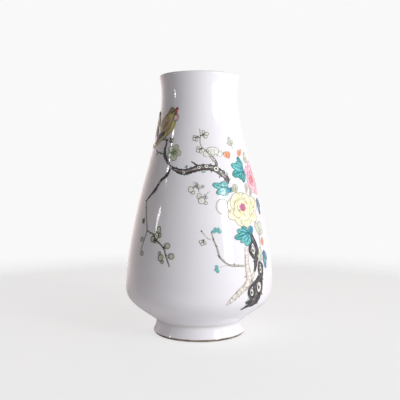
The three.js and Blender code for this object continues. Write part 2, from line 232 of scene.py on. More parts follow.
# Clear glaze, dipped and fired: glassy and slightly wavy, with rare iron specks, and darker in a band about
# one height: glaze pooling there together with painted shade where the band lies in a crease.
def glazeFinish(name, settings):
    material, tree, shader, place = newFinish(name)
    cloud = addNode(tree, "ShaderNodeTexNoise", None, {
        "Vector": place, "Scale": 1 / (settings["cloud"] * mm), "Detail": 2.0,
    })
    tint = addNode(tree, "ShaderNodeMix", {"data_type": "RGBA"}, {
        "Factor": cloud.outputs["Fac"], 6: linear(settings["body"]), 7: linear(settings["tint"]),
    })
    split = addNode(tree, "ShaderNodeSeparateXYZ", None, {0: place})
    offCrease = addNode(tree, "ShaderNodeMath", {"operation": "SUBTRACT"}, {
        0: split.outputs["Z"], 1: settings["pool"] * mm,
    })
    away = addNode(tree, "ShaderNodeMath", {"operation": "ABSOLUTE"}, {0: offCrease.outputs[0]})
    # Glaze pooling and painted shade: the colour darkens towards the band's height.
    pool = addNode(tree, "ShaderNodeMapRange", {"interpolation_type": "SMOOTHSTEP"}, {
        "Value": away.outputs[0], "From Min": 0.0, "From Max": settings["poolAndShadeReach"] * mm,
        "To Min": settings["poolAndShadeDepth"], "To Max": 0.0,
    })
    poolAndShaded = addNode(tree, "ShaderNodeMix", {"data_type": "RGBA"}, {
        "Factor": pool.outputs[0], 6: tint.outputs[2], 7: linear(settings["poolAndShadeColour"]),
    })
    cells = addNode(tree, "ShaderNodeTexVoronoi", None, {
        "Vector": place, "Scale": 1 / (settings["speckSpacing"] * mm),
    })
    speck = addNode(tree, "ShaderNodeMath", {"operation": "LESS_THAN"}, {
        0: cells.outputs["Distance"], 1: settings["speckSize"] / settings["speckSpacing"],
    })
    faint = addNode(tree, "ShaderNodeMath", {"operation": "MULTIPLY"}, {
        0: speck.outputs[0], 1: settings["speckDepth"],
    })
    speckled = addNode(tree, "ShaderNodeMix", {"data_type": "RGBA"}, {
        "Factor": faint.outputs[0], 6: poolAndShaded.outputs[2], 7: linear(settings["iron"]),
    })
    tree.links.new(speckled.outputs[2], shader.inputs["Base Color"])
    wave = addNode(tree, "ShaderNodeTexNoise", None, {
        "Vector": place, "Scale": 1 / (settings["wave"] * mm), "Detail": 1.0,
    })
    addSurface(tree, cloud, settings["rough"], wave, 0.25, settings["waveDepth"])
    shader.inputs["IOR"].default_value = 1.52
    return material


# Fired clay left bare: matt and gritty, darker where iron and dust sit in its pores.
def clayFinish(name, settings):
    material, tree, shader, place = newFinish(name)
    grit = addNode(tree, "ShaderNodeTexNoise", None, {
        "Vector": place, "Scale": 1 / (settings["grit"] * mm), "Detail": 4.0,
    })
    stain = addNode(tree, "ShaderNodeTexNoise", None, {
        "Vector": place, "Scale": 1 / (settings["stain"] * mm), "Detail": 3.0,
    })
    mottled = addNode(tree, "ShaderNodeMath", {"operation": "MULTIPLY"}, {
        0: grit.outputs["Fac"], 1: stain.outputs["Fac"],
    })
    ramp = addNode(tree, "ShaderNodeValToRGB", None, {"Fac": mottled.outputs[0]})
    tones = ((0.12, settings["dark"]), (0.4, settings["pale"]))
    for element, (position, colour) in zip(ramp.color_ramp.elements, tones):
        element.position = position
        element.color = linear(colour)
    tree.links.new(ramp.outputs[0], shader.inputs["Base Color"])
    addSurface(tree, grit, settings["rough"], grit, 0.6, settings["gritDepth"])
    return material


# Outside, the darker band lies on the crease above the foot: glaze pooling there, and painted shade of the
# crease.
clearGlaze = glazeFinish("dipped clear glaze", dict(
    body="#f1f0f4", tint="#ecebf1", cloud=45, pool=13.4, poolAndShadeReach=3.6, poolAndShadeDepth=0.55, poolAndShadeColour="#cfcdca",
    speckSpacing=23, speckSize=0.28, speckDepth=0.5, iron="#8a7a66", rough=(0.05, 0.11),
    wave=9, waveDepth=0.05,
))
innerGlaze = glazeFinish("poured inner glaze", dict(
    body="#eeeef0", tint="#e6e8ec", cloud=30, pool=16, poolAndShadeReach=7, poolAndShadeDepth=0.5, poolAndShadeColour="#c4cfd4",
    speckSpacing=19, speckSize=0.3, speckDepth=0.5, iron="#8a7a66", rough=(0.07, 0.14),
    wave=7, waveDepth=0.08,
))
thrownPaste = clayFinish("thrown porcelain paste", dict(
    pale="#f1ece2", dark="#ddd5c6", grit=0.6, stain=14, rough=(0.7, 0.85), gritDepth=0.05,
))
# The bare foot rim is darker than the paste's own tone: partly its fired colour, partly painted shadow of the
# gap under the foot.
bareRimWithPaintedShadow = clayFinish("bare trimmed foot rim, darkened with painted shadow", dict(
    pale="#b5a698", dark="#57493f", grit=0.5, stain=5, rough=(0.75, 0.95), gritDepth=0.12,
))
lutingSlip = clayFinish("luting slip", dict(
    pale="#e8dfd0", dark="#cfc3af", grit=0.4, stain=6, rough=(0.8, 0.92), gritDepth=0.08,
))
print("porcelain finishes ready")


def paired(radii, heights):
    return np.stack(np.broadcast_arrays(np.asarray(radii, float), np.asarray(heights, float)), -1)


# The glaze, paste and glaze again that the wall is built up of, with depths square to the outside.
wall = dict(
    glaze=0.4, gap=0.05, paste=3.4, lipPaste=2.2, seam=0.4, joint=0.1,
    turnIn=234, glazeStop=2.4,      # how far the outer glaze runs inside the lip and down the foot
    creaseLow=11, creaseHigh=15, bellyFrom=16.5, creaseReach=1.5,
    step=2.5, segments=192,
)
pasteOut = wall["glaze"] + wall["gap"]


def pasteIn(height):
    thin = np.interp(height, [vase["neckJoint"], vase["height"]], [wall["paste"], wall["lipPaste"]])
    return pasteOut + thin


def coatOut(height):
    return pasteIn(height) + wall["gap"]


def coatIn(height):
    return coatOut(height) + wall["glaze"]


def wallRun(low, high, depth):
    heights = np.linspace(low, high, max(2, int((high - low) / wall["step"]) + 2))
    radius, slope = outlineAt(vase["body"], heights)
    depth = depth(heights) if callable(depth) else depth
    return paired(radius - depth * np.hypot(1, slope), heights)


lipRadius = (wall["lipPaste"] + 2 * wall["glaze"] + 2 * wall["gap"]) / 2
lipHeight = vase["height"] - lipRadius


def lipArc(depth):
    radius, slope = outlineAt(vase["body"], lipHeight)
    stretch = np.hypot(1, slope)
    turn = np.linspace(0, math.pi, 14)
    across = radius - lipRadius * stretch + (lipRadius - depth) * stretch * np.cos(turn)
    return paired(across, lipHeight + (lipRadius - depth) * np.sin(turn))


# Replaces each inside corner of an outline by a short curve.
def eased(points, reach, steps=5):
    points = np.asarray(points, float)
    result = [points[0]]
    for before, corner, after in zip(points, points[1:], points[2:]):
        leave = corner + (before - corner) * min(0.45, reach / np.linalg.norm(before - corner))
        enter = corner + (after - corner) * min(0.45, reach / np.linalg.norm(after - corner))
        for t in np.linspace(0, 1, steps):
            result.append((1 - t) ** 2 * leave + 2 * t * (1 - t) * corner + t * t * enter)
    return np.array(result + [points[-1]])


def turnPiece(node, profile, material):
    profile = np.asarray(profile, float)
    if profile[0, 0] > 0:
        profile = np.concatenate([profile, profile[:1]])
    verts = np.insert(profile * mm, 1, 0, axis=1)
    mesh = bpy.data.meshes.new(node)
    mesh.from_pydata(verts.tolist(), [(k, k + 1) for k in range(len(verts) - 1)], [])
    piece = addPiece(node + "_turned", mesh)
    runTree(piece, turningTree, {
        "Segments": wall["segments"], "Crease Angle": math.radians(38), "Material": material,
    })
    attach(piece, "root")
    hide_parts(node)
    return piece


def makePorcelain():
    seamHalf = wall["seam"] / 2 + wall["gap"]
    footTop = vase["foot"][1][0]
    bodyStart = footTop + wall["seam"] + wall["joint"]
    sections = [
        ("lower_body_section", bodyStart, vase["bellyJoint"] - seamHalf),
        ("upper_body_section", vase["bellyJoint"] + seamHalf, vase["neckJoint"] - seamHalf),
    ]
    for node, low, high in sections:
        section = np.concatenate([wallRun(low, high, pasteOut), wallRun(low, high, pasteIn)[::-1]])
        turnPiece(node, section, thrownPaste)
    low = vase["neckJoint"] + seamHalf
    neck = [wallRun(low, lipHeight, pasteOut), lipArc(pasteOut)[1:-1],
            wallRun(low, lipHeight, pasteIn)[::-1]]
    turnPiece("neck_section", np.concatenate(neck), thrownPaste)
    joints = (("belly_luting_seam", vase["bellyJoint"]), ("neck_luting_seam", vase["neckJoint"]))
    for node, height in joints:
        low, high = height - wall["seam"] / 2, height + wall["seam"] / 2
        seam = np.concatenate([wallRun(low, high, pasteOut), wallRun(low, high, pasteIn)[::-1]])
        turnPiece(node, seam, lutingSlip)
    makeFoot(footTop, bodyStart)
    makeCoats(footTop, bodyStart)


foot = dict(
    restIn=37.9, restOut=41.4, bevel=1.2, inside=36.5,
    floorUnder=9.4, floorPlay=0.3,      # the floor's underside, and its play in the ring
    skirt=3, bowl=4, liningFrom=1.5,    # where the glaze ends below, its curve inside, where that starts
)


def footRun(low, high, depth):
    heights = np.linspace(low, high, 7)
    radius, slope = outlineAt(vase["foot"], heights)
    return paired(radius - depth * np.hypot(1, slope), heights)


def makeFoot(footTop, bodyStart):
    floorTop = footTop - wall["joint"]
    outside = footRun(wall["glazeStop"], floorTop, pasteOut)
    corners = [(foot["inside"], 2 * foot["bevel"]), (foot["restIn"], 0), (foot["restOut"], 0),
               (foot["restOut"] + foot["bevel"], foot["bevel"]), outside[0]]
    ring = [eased(corners, 0.5)[1:-1], outside, [(foot["inside"], floorTop)], corners[:1]]
    turnPiece("foot_ring", np.concatenate(ring)[:-1], bareRimWithPaintedShadow)
    edge = foot["inside"] - foot["floorPlay"]
    floor = [(0, foot["floorUnder"]), (edge, foot["floorUnder"]), (edge, floorTop), (0, floorTop)]
    turnPiece("base_floor", floor, thrownPaste)
    inner = wallRun(bodyStart, bodyStart + 1, pasteIn)[0, 0]
    outer = outside[-1, 0] - wall["gap"]
    high = footTop + wall["seam"]
    seam = [(inner, footTop), (outer, footTop), (outer, high), (inner, high)]
    turnPiece("foot_luting_seam", seam, lutingSlip)


def makeCoats(footTop, bodyStart):
    thick = wall["glaze"]
    corner = [footRun(wall["creaseLow"], footTop, 0)[0], (vase["foot"][1][1], footTop),
              wallRun(footTop, wall["creaseHigh"], 0)[-1]]
    crease = eased(corner, wall["creaseReach"], 7)
    outside = [footRun(wall["glazeStop"], wall["creaseLow"], 0)[:-1], crease,
               wallRun(wall["bellyFrom"], lipHeight, 0), lipArc(0)[1:]]
    turned = wallRun(lipHeight, wall["turnIn"], coatIn)[1:]
    back = [wallRun(wall["turnIn"], lipHeight, coatOut)[:-1], lipArc(thick)[::-1],
            wallRun(footTop, lipHeight, thick)[::-1][1:],
            footRun(wall["glazeStop"], footTop, thick)[::-1][1:]]
    turnPiece("outer_glaze", np.concatenate([*outside, turned, *back]), clearGlaze)
    high = wall["turnIn"] - wall["gap"]
    floorLow = footTop - wall["gap"]
    against = wallRun(bodyStart, high, coatOut)
    edge = against[0, 0] - wall["gap"]
    top = floorLow + thick
    inside = wallRun(bodyStart + foot["liningFrom"], high, coatIn)[::-1]
    bowl = eased([inside[-2], inside[-1], (edge - foot["bowl"], top), (0, top)], foot["bowl"], 6)
    lining = [[(0, floorLow), (edge, floorLow)], against, inside[:-1], bowl[1:]]
    turnPiece("inner_glaze", np.concatenate(lining), innerGlaze)
    ceiling, side = foot["floorUnder"] - wall["gap"], foot["inside"] - wall["gap"]
    under = [(0, ceiling - thick), (side - thick, ceiling - thick), (side - thick, foot["skirt"])]
    under = np.concatenate([eased(under, 1.5), [(side, foot["skirt"]), (side, ceiling), (0, ceiling)]])
    turnPiece("base_glaze", under, innerGlaze)


makePorcelain()
print("porcelain turned")


# Enamel wash, brushed on and fired: a glassy film whose colour pools and thins as the brush left it.
def washFinish(name, settings):
    material, tree, shader, place = newFinish(name)
    colour = addNode(tree, "ShaderNodeAttribute", {"attribute_name": "wash"})
    pools = addNode(tree, "ShaderNodeTexNoise", None, {
        "Vector": place, "Scale": 1 / (settings["pool"] * mm), "Detail": 3.0,
    })
    thin = addNode(tree, "ShaderNodeMapRange", None, {
        "Value": pools.outputs["Fac"], "From Min": 0.3, "From Max": 0.7,
        "To Min": 1 - settings["vary"], "To Max": 1 + settings["vary"],
    })
    shaded = addNode(tree, "ShaderNodeVectorMath", {"operation": "SCALE"}, {
        0: colour.outputs["Color"], "Scale": thin.outputs[0],
    })
    tree.links.new(shaded.outputs[0], shader.inputs["Base Color"])
    ripple = addNode(tree, "ShaderNodeTexNoise", None, {
        "Vector": place, "Scale": 1 / (settings["ripple"] * mm), "Detail": 2.0,
    })
    addSurface(tree, pools, settings["rough"], ripple, 0.5, settings["depth"])
    shader.inputs["IOR"].default_value = 1.55
    return material


# Enamel ink, drawn with a fine brush: one colour, beaded up by the fire, so only its gloss varies.
inkBeads = dict(size=0.5, depth=0.03, glossSpread=0.12)


def inkFinish(name, hexColour, rough):
    material, tree, shader, place = newFinish(name)
    shader.inputs["Base Color"].default_value = linear(hexColour)
    shader.inputs["IOR"].default_value = 1.5
    beads = addNode(tree, "ShaderNodeTexNoise", None, {
        "Vector": place, "Scale": 1 / (inkBeads["size"] * mm), "Detail": 2.0,
    })
    spread = inkBeads["glossSpread"]
    addSurface(tree, beads, (rough - spread, rough + spread), beads, 0.4, inkBeads["depth"])
    return material


# The size of a pool and of a ripple is in millimetres, and so is the ripple's depth.
washes = dict(
    bark=washFinish("bark wash, iron black enamel",
                    dict(pool=1.6, vary=0.3, rough=(0.3, 0.55), ripple=0.8, depth=0.06)),
    prunus=washFinish("prunus wash, glassy white enamel",
                      dict(pool=2.5, vary=0.05, rough=(0.12, 0.25), ripple=1.4, depth=0.03)),
    leaf=washFinish("leaf wash, copper teal enamel",
                    dict(pool=2.2, vary=0.16, rough=(0.08, 0.2), ripple=1.2, depth=0.05)),
    peony=washFinish("peony wash, opaque rose and yellow enamel",
                     dict(pool=3, vary=0.07, rough=(0.18, 0.32), ripple=1.6, depth=0.04)),
    plumage=washFinish("plumage wash, olive and brown enamel",
                       dict(pool=1.4, vary=0.16, rough=(0.2, 0.38), ripple=0.9, depth=0.04)),
)
inks = {name: inkFinish(name + " enamel ink", colour, rough) for name, (colour, rough) in dict(
    black=("#231e1f", 0.4), sepia=("#7f806a", 0.38), moor=("#55553f", 0.4), umber=("#6a5444", 0.4),
    green=("#6f9160", 0.3), foam=("#9fdfdc", 0.2), tealDark=("#1f6f7c", 0.25), tealMid=("#5aa9a8", 0.25),
    blueDark=("#2f5f8a", 0.25), ochre=("#b3a877", 0.32), rose=("#cf6a88", 0.3), magenta=("#c03d8c", 0.3),
    white=("#f3f1ea", 0.25), moss=("#4fb3a6", 0.25), straw=("#e2cf7a", 0.3), rust=("#c4502e", 0.32),
    coral=("#ef9a86", 0.3), olive=("#8f8c3c", 0.32), plum=("#5a4358", 0.36),
).items()}
print("enamel finishes ready")


# Draws each edge chain as a flattened brush line that stands a little proud of the wall.
def makeLineTree():
    tree, given = newTree("brushLines", {
        "Sides": "NodeSocketInt", "Flatness": "NodeSocketFloat", "Material": "NodeSocketMaterial",
    })
    routes = addNode(tree, "GeometryNodeMeshToCurve", None, {"Mesh": given["Geometry"]})
    out = addNode(tree, "GeometryNodeInputNamedAttribute", {"data_type": "FLOAT_VECTOR"}, {"Name": "wayOut"})
    turned = addNode(tree, "GeometryNodeSetCurveNormal", {"mode": "FREE"}, {
        "Curve": routes.outputs[0], "Normal": out.outputs[0],
    })
    circle = addNode(tree, "GeometryNodeCurvePrimitiveCircle", None, {
        "Resolution": given["Sides"], "Radius": 1.0,
    })
    scale = addNode(tree, "ShaderNodeCombineXYZ", None, {0: given["Flatness"], 1: 1.0, 2: 1.0})
    section = addNode(tree, "GeometryNodeTransform", None, {
        "Geometry": circle.outputs[0], "Scale": scale.outputs[0],
    })
    half = addNode(tree, "GeometryNodeInputNamedAttribute", {"data_type": "FLOAT"}, {"Name": "halfWidth"})
    drawn = addNode(tree, "GeometryNodeCurveToMesh", None, {
        "Curve": turned.outputs[0], "Profile Curve": section.outputs[0], "Scale": half.outputs[0],
        "Fill Caps": True,
    })
    smooth = addNode(tree, "GeometryNodeSetShadeSmooth", None, {"Geometry": drawn.outputs[0]})
    return endTree(tree, smooth.outputs[0], given["Material"])


# Sets a low dome on each point: a touch of the brush's tip.
def makeDotTree():
    tree, given = newTree("brushDots", {
        "Height Share": "NodeSocketFloat", "Unevenness": "NodeSocketFloat", "Seed": "NodeSocketInt",
        "Material": "NodeSocketMaterial",
    })
    dome = addNode(tree, "GeometryNodeMeshUVSphere", None, {"Segments": 8, "Rings": 5, "Radius": 1.0})
    out = addNode(tree, "GeometryNodeInputNamedAttribute", {"data_type": "FLOAT_VECTOR"}, {"Name": "wayOut"})
    turn = addNode(tree, "FunctionNodeAlignRotationToVector", {"axis": "Z"}, {"Vector": out.outputs[0]})
    size = addNode(tree, "GeometryNodeInputNamedAttribute", {"data_type": "FLOAT"}, {"Name": "halfWidth"})
    least = addNode(tree, "ShaderNodeMath", {"operation": "SUBTRACT"}, {0: 1.0, 1: given["Unevenness"]})
    vary = addNode(tree, "FunctionNodeRandomValue", {"data_type": "FLOAT"}, {
        2: least.outputs[0], 3: 1.0, "Seed": given["Seed"],
    })
    wide = addNode(tree, "ShaderNodeMath", {"operation": "MULTIPLY"}, {
        0: size.outputs[0], 1: vary.outputs[1],
    })
    low = addNode(tree, "ShaderNodeMath", {"operation": "MULTIPLY"}, {
        0: wide.outputs[0], 1: given["Height Share"],
    })
    scale = addNode(tree, "ShaderNodeCombineXYZ", None, {
        0: wide.outputs[0], 1: size.outputs[0], 2: low.outputs[0],
    })
    smooth = addNode(tree, "GeometryNodeSetShadeSmooth", None, {"Geometry": dome.outputs["Mesh"]})
    dotted = addNode(tree, "GeometryNodeInstanceOnPoints", None, {
        "Points": given["Geometry"], "Instance": smooth.outputs[0], "Rotation": turn.outputs[0],
        "Scale": scale.outputs[0],
    })
    return endTree(tree, dotted.outputs[0], given["Material"])


lineTree = makeLineTree()
dotTree = makeDotTree()

# How thick the enamel stands: each layer lies over the one before it.
enamel = dict(first=0.02, layer=0.05, body=0.06, sunk=-0.12, inkFlat=0.32, inkSides=6, step=0.7)


# Over is how many layers of paint already lie where this motif is painted.
def newPaint(node, over=0):
    return dict(node=node, over=over, seed=sum(map(ord, node)),
                verts=[], faces=[], shades=[], lines={}, dots={})


def floorOf(paint, layer):
    return enamel["first"] + enamel["layer"] * (paint["over"] + layer)


def degreesPerMillimetre(height):
    return np.degrees(1 / outlineAt(vase["body"], height)[0])


# Gives a function that carries a motif's own millimetres, x to the right and y up, on to the wall.
def placeAt(angle, height, turn=0.0, size=1.0, mirror=1):
    rate = float(degreesPerMillimetre(height))
    cos, sin = size * math.cos(math.radians(turn)), size * math.sin(math.radians(turn))

    def put(points):
        x, y = np.moveaxis(np.asarray(points, float)[..., :2], -1, 0)
        x = x * mirror
        return np.stack([angle + (cos * x - sin * y) * rate, height + sin * x + cos * y], -1)
    return put


# A place within a motif that has a place of its own.
def within(put, x, y, turn=0.0):
    cos, sin = math.cos(math.radians(turn)), math.sin(math.radians(turn))

    def inner(points):
        u, v = np.moveaxis(np.asarray(points, float)[..., :2], -1, 0)
        return put(np.stack([x + cos * u - sin * v, y + sin * u + cos * v], -1))
    return inner


# A smooth curve through a route's points, in steps of so many millimetres.
def smoothed(route, step=enamel["step"]):
    route = np.asarray(route, float)
    wide = np.diff(route[:, 0]) / degreesPerMillimetre(route[:-1, 1])
    length = np.hypot(wide, np.diff(route[:, 1]))
    ends = np.vstack([2 * route[0] - route[1], route, 2 * route[-1] - route[-2]])
    result = []
    for k in range(len(route) - 1):
        a, b, c, d = ends[k:k + 4]
        t = np.linspace(0, 1, max(2, int(length[k] / step) + 1), endpoint=False)[:, None]
        bend = (2 * a - 5 * b + 4 * c - d) * t ** 2 + (3 * b - a - 3 * c + d) * t ** 3
        result.append(0.5 * (2 * b + (c - a) * t + bend))
    return np.concatenate(result + [route[-1:]])


# Slow waves over the wall, from 0 to 1, for a wash's uneven colour and edge.
def mottle(points, seed, size):
    rng = np.random.default_rng(seed)
    total = np.zeros(len(points))
    for _ in range(4):
        way, phase = rng.uniform(0, math.tau, 2)
        wave = size * rng.uniform(0.6, 1.4)
        along = points[:, 0] * math.cos(way) + points[:, 1] * math.sin(way)
        total += np.sin(along * math.tau / wave + phase)
    return 0.5 + total / 8


# Colours from a wash's heart, share 0, to its edge, share 1, with blots of another colour.
def shadesOf(share, stops, points, seed, blot=None):
    places = [stop[0] for stop in stops]
    colours = np.array([linear(stop[1]) for stop in stops])
    shades = np.stack([np.interp(share, places, colours[:, k]) for k in range(4)], -1)
    if blot:
        hexColour, amount, size = blot
        mix = np.clip((mottle(points, seed, size) - 0.45) * 4, 0, 1)[:, None] * amount
        shades = shades * (1 - mix) + np.array(linear(hexColour)) * mix
    return shades


def addSheet(paint, points, lifts, faces, shades):
    base = len(paint["verts"])
    paint["verts"].extend(onWall(points[:, 0], points[:, 1], lifts)[0].tolist())
    paint["faces"].extend([base + k for k in face] for face in faces)
    paint["shades"].extend(shades.tolist())


# A patch of wash inside an outline, coloured from its heart to its edge.
def addWash(paint, outline, stops, heart=None, layer=0, blot=None):
    outline = np.asarray(outline, float)
    after = np.roll(outline, -1, axis=0)
    if np.sum(outline[:, 0] * after[:, 1] - outline[:, 1] * after[:, 0]) < 0:
        outline = outline[::-1]
    heart = outline.mean(0) if heart is None else np.asarray(heart, float).reshape(2)
    rings = (0.28, 0.55, 0.78, 0.93, 1.0)
    count = len(outline)
    floor = floorOf(paint, layer)
    points = np.vstack([heart[None], *[heart + (outline - heart) * f for f in rings], outline, heart[None]])
    share = np.concatenate([[0], *[np.full(count, f) for f in rings], np.ones(count + 1)])
    lifts = floor + enamel["body"] * (1 - share ** 8)
    lifts[-count - 1:] = enamel["sunk"]
    ring = lambda row, k: 1 + row * count + k % count
    faces = [(0, ring(0, k), ring(0, k + 1)) for k in range(count)]
    for row in range(len(rings)):
        faces += [(ring(row, k), ring(row + 1, k), ring(row + 1, k + 1), ring(row, k + 1))
                  for k in range(count)]
    last = len(points) - 1
    faces += [(last, ring(len(rings), k + 1), ring(len(rings), k)) for k in range(count)]
    addSheet(paint, points, lifts, faces, shadesOf(share, stops, points, paint["seed"], blot))


# The unit way forward at each point of a route, and the degrees in a millimetre there.
def headings(route):
    rate = degreesPerMillimetre(route[:, 1])
    forward = np.gradient(route[:, :2], axis=0)
    forward = np.stack([forward[:, 0] / rate, forward[:, 1]], -1)
    return forward / (np.linalg.norm(forward, axis=1, keepdims=True) + 1e-9), rate


# A long stroke of wash along a route of angle, height and width, with a ragged edge.
def addRibbon(paint, route, stops, layer=0, ragged=0.12, blot=None):
    route = smoothed(route)
    forward, rate = headings(route)
    section = np.array([-1, -0.82, -0.45, 0, 0.45, 0.82, 1])
    top = floorOf(paint, layer) + enamel["body"] * (1 - section ** 4)
    across = np.concatenate([section, [1, -1]])
    lift = np.concatenate([top, [enamel["sunk"]] * 2])
    rim = np.stack([mottle(route, paint["seed"] + side, 3.2) for side in (1, 2)])
    rim = 1 + ragged * 2 * (rim - 0.5)
    side = np.where(across > 0, rim[0][:, None], rim[1][:, None]) * across * route[:, 2:3] / 2
    angles = route[:, :1] - forward[:, 1:] * side * rate[:, None]
    heights = route[:, 1:2] + forward[:, :1] * side
    points = np.stack([angles, heights], -1).reshape(-1, 2)
    width, rows = len(across), len(route)
    at = lambda row, k: row * width + k % width
    faces = [(at(i, k), at(i + 1, k), at(i + 1, k + 1), at(i, k + 1))
             for i in range(rows - 1) for k in range(width)]
    faces.append(tuple(at(0, k) for k in range(width)))
    faces.append(tuple(at(rows - 1, width - 1 - k) for k in range(width)))
    shades = shadesOf(np.tile(np.abs(across), rows), stops, points, paint["seed"], blot)
    addSheet(paint, points, np.tile(lift, rows), faces, shades)


# A brush line; the brush touches down and lifts off narrower than its full width.
def addLine(paint, ink, route, width=0.4, layer=0, ends=(0.45, 0.3), closed=False):
    route = np.asarray(route, float)
    if closed:
        route = np.vstack([route, route[:1]])
    points = smoothed(route)
    t = np.linspace(0, 1, len(points))
    wide = points[:, 2] if points.shape[1] > 2 else np.full(len(points), width)
    touch = np.minimum(1, ends[0] + (1 - ends[0]) * t / 0.2)
    leave = np.minimum(1, ends[1] + (1 - ends[1]) * (1 - t) / 0.35)
    wide = wide * touch * leave * (0.85 + 0.3 * mottle(points, paint["seed"] + len(points), 4))
    lift = floorOf(paint, layer) + enamel["body"]
    paint["lines"].setdefault(ink, []).append((points[:, :2], wide / 2, lift))


# A patch of wash with a line of ink all round it.
def addOutlined(paint, outline, stops, ink, width, layer=0, heart=None, blot=None, ends=0.6):
    addWash(paint, outline, stops, heart, layer, blot)
    addLine(paint, ink, outline, width, layer, (ends, ends), True)


def addDots(paint, ink, points, size=0.5, layer=0):
    points = np.asarray(points, float).reshape(-1, 2)
    lift = floorOf(paint, layer) + enamel["body"]
    paint["dots"].setdefault(ink, []).append((points, np.full(len(points), size / 2), lift))


# Makes a polyline mesh, or bare points, with each point's way out and half width.
def strokeMesh(name, strokes, joined):
    verts, outs, halves, edges = [], [], [], []
    for points, half, lift in strokes:
        at, out = onWall(points[:, 0], points[:, 1], np.full(len(points), lift))
        if joined:
            edges += [(len(verts) + k, len(verts) + k + 1) for k in range(len(points) - 1)]
        verts.extend(at.tolist())
        outs.append(out)
        halves.append(half * mm)
    mesh = bpy.data.meshes.new(name)
    mesh.from_pydata(verts, edges, [])
    ways = mesh.attributes.new("wayOut", "FLOAT_VECTOR", "POINT")
    ways.data.foreach_set("vector", np.concatenate(outs).ravel())
    widths = mesh.attributes.new("halfWidth", "FLOAT", "POINT")
    widths.data.foreach_set("value", np.concatenate(halves))
    return mesh


# Turns what was painted into pieces: the washes stand for the CAD node, and each ink lies on them.
def firePaint(paint, wash):
    name = paint["node"].removesuffix("_enamel")
    mesh = bpy.data.meshes.new(name)
    mesh.from_pydata(paint["verts"], [], paint["faces"])
    colours = mesh.color_attributes.new("wash", "FLOAT_COLOR", "POINT")
    colours.data.foreach_set("color", np.array(paint["shades"]).ravel())
    mesh.polygons.foreach_set("use_smooth", [True] * len(mesh.polygons))
    mesh.materials.append(washes[wash])
    painted = addPiece(name + "_wash", mesh)
    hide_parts(paint["node"])
    pieces = [painted]
    for ink, strokes in paint["lines"].items():
        piece = addPiece(f"{name}_{ink}_lines", strokeMesh(name, strokes, True))
        pieces.append(runTree(piece, lineTree, {
            "Sides": enamel["inkSides"], "Flatness": enamel["inkFlat"], "Material": inks[ink],
        }))
    for ink, strokes in paint["dots"].items():
        piece = addPiece(f"{name}_{ink}_dots", strokeMesh(name, strokes, False))
        pieces.append(runTree(piece, dotTree, {
            "Height Share": 0.35, "Unevenness": 0.3, "Seed": paint["seed"], "Material": inks[ink],
        }))
    for piece in pieces:
        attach(piece, "root")


def oval(width, height, count=14, centre=(0, 0)):
    turn = np.linspace(0, math.tau, count, endpoint=False)
    return np.stack([centre[0] + width / 2 * np.cos(turn), centre[1] + height / 2 * np.sin(turn)], -1)


# A round petal that stands on its root and points up.
def petal(length, width, count=16):
    turn = np.linspace(0, math.tau, count, endpoint=False)
    swell = 0.78 + 0.22 * (1 - np.cos(turn)) / 2
    return np.stack([width / 2 * np.sin(turn) * swell, length / 2 * (1 - np.cos(turn))], -1)


# A cut leaf that points up: narrow root, lobed sides, sharp tip.
def leaflet(length, width, lobes=2):
    t = np.linspace(0.03, 0.985, 16)
    lobed = 1 + 0.1 * np.cos(math.tau * lobes * t + 0.6)
    half = width / 2 * np.sin(math.pi * t ** 1.15) ** 0.62 * lobed
    right = np.stack([half, length * t], -1)
    left = np.stack([-half, length * t], -1)[::-1]
    return np.concatenate([right, [(0, length)], left])


# A peony petal from its root to a scalloped outer edge.
def scallopedPetal(length, width, scallops):
    turn = np.radians(np.linspace(-112, 112, 15))
    edge = 1 + 0.09 * (np.abs(np.cos(scallops * turn * 0.7)) - 0.5)
    tip = np.stack([np.sin(turn) * width / 2, length * (0.6 + 0.4 * np.cos(turn) * edge)], -1)
    return np.concatenate([[(-width * 0.1, 0)], tip, [(width * 0.1, 0)]])


# The turn that points a shape drawn upright in a direction, counted from the right.
def turnedBy(direction):
    return direction - 90


# A brush's curl that winds inwards from 70 degrees.
def curl(radius):
    t = np.linspace(0, 1, 16)
    turn = math.radians(70) + t * 1.1 * math.tau
    reach = radius * (1 - 0.75 * t)
    return np.stack([reach * np.cos(turn), reach * np.sin(turn)], -1)


# Prunus: round petals in glassy white, ringed with grey-green ink, with a green eye.
prunus = dict(
    petal=[(0, "#e0e3d6"), (0.35, "#e9ebe4"), (0.8, "#eeeeea"), (1, "#e2e4d9")],
    grown=[(0, "#a3b08c"), (0.4, "#c3c9b1"), (0.8, "#d2d5c4"), (1, "#b7bba2")],
    eye=[(0, "#6f8f5c"), (1, "#93a97c")],
    bud=[(0, "#cfd1c4"), (0.7, "#bcbfae"), (1, "#a2a591")],
    side=[(0, "#f3f2ef"), (0.8, "#efeeea"), (1, "#e4e2db")],
    ink=0.55,
)


def paintPetal(paint, put, direction, root, length, width, layer=0, tone="petal"):
    at = within(put, root * math.cos(math.radians(direction)), root * math.sin(math.radians(direction)),
                turnedBy(direction))
    outline = petal(length, width)
    addWash(paint, at(outline), prunus[tone], at((0, length * 0.3)), layer)
    addLine(paint, "sepia", at(outline * (0.97, 0.98)), prunus["ink"], layer, (0.7, 0.7), True)
    if tone == "grown":
        for side in (-0.5, 0, 0.5):
            vein = [(side * width * 0.2, length * 0.1), (side * width * 0.5, length * 0.5)]
            addLine(paint, "green", at(vein), 0.35, layer, (1, 0.2))


# A petal, bud or sepal drawn as a single ring of ink with a thin wash inside.
def paintRing(paint, put, centre, size, layer, ink, tone, width):
    addOutlined(paint, put(oval(*size, 14, centre)), prunus[tone], ink, width, layer, ends=0.7)


def paintStamens(paint, put, radius, directions, layer, ink="sepia"):
    for k, direction in enumerate(directions):
        long = radius * (0.75 + 0.25 * math.sin(k * 2.4))
        at = within(put, 0, 0, turnedBy(direction))
        addLine(paint, ink, at([(0, 0.2), (0.12 * long, long * 0.55), (0, long)]), 0.32, layer, (0.6, 0.8))
        addDots(paint, ink, at([(0, long)]), 0.6, layer)


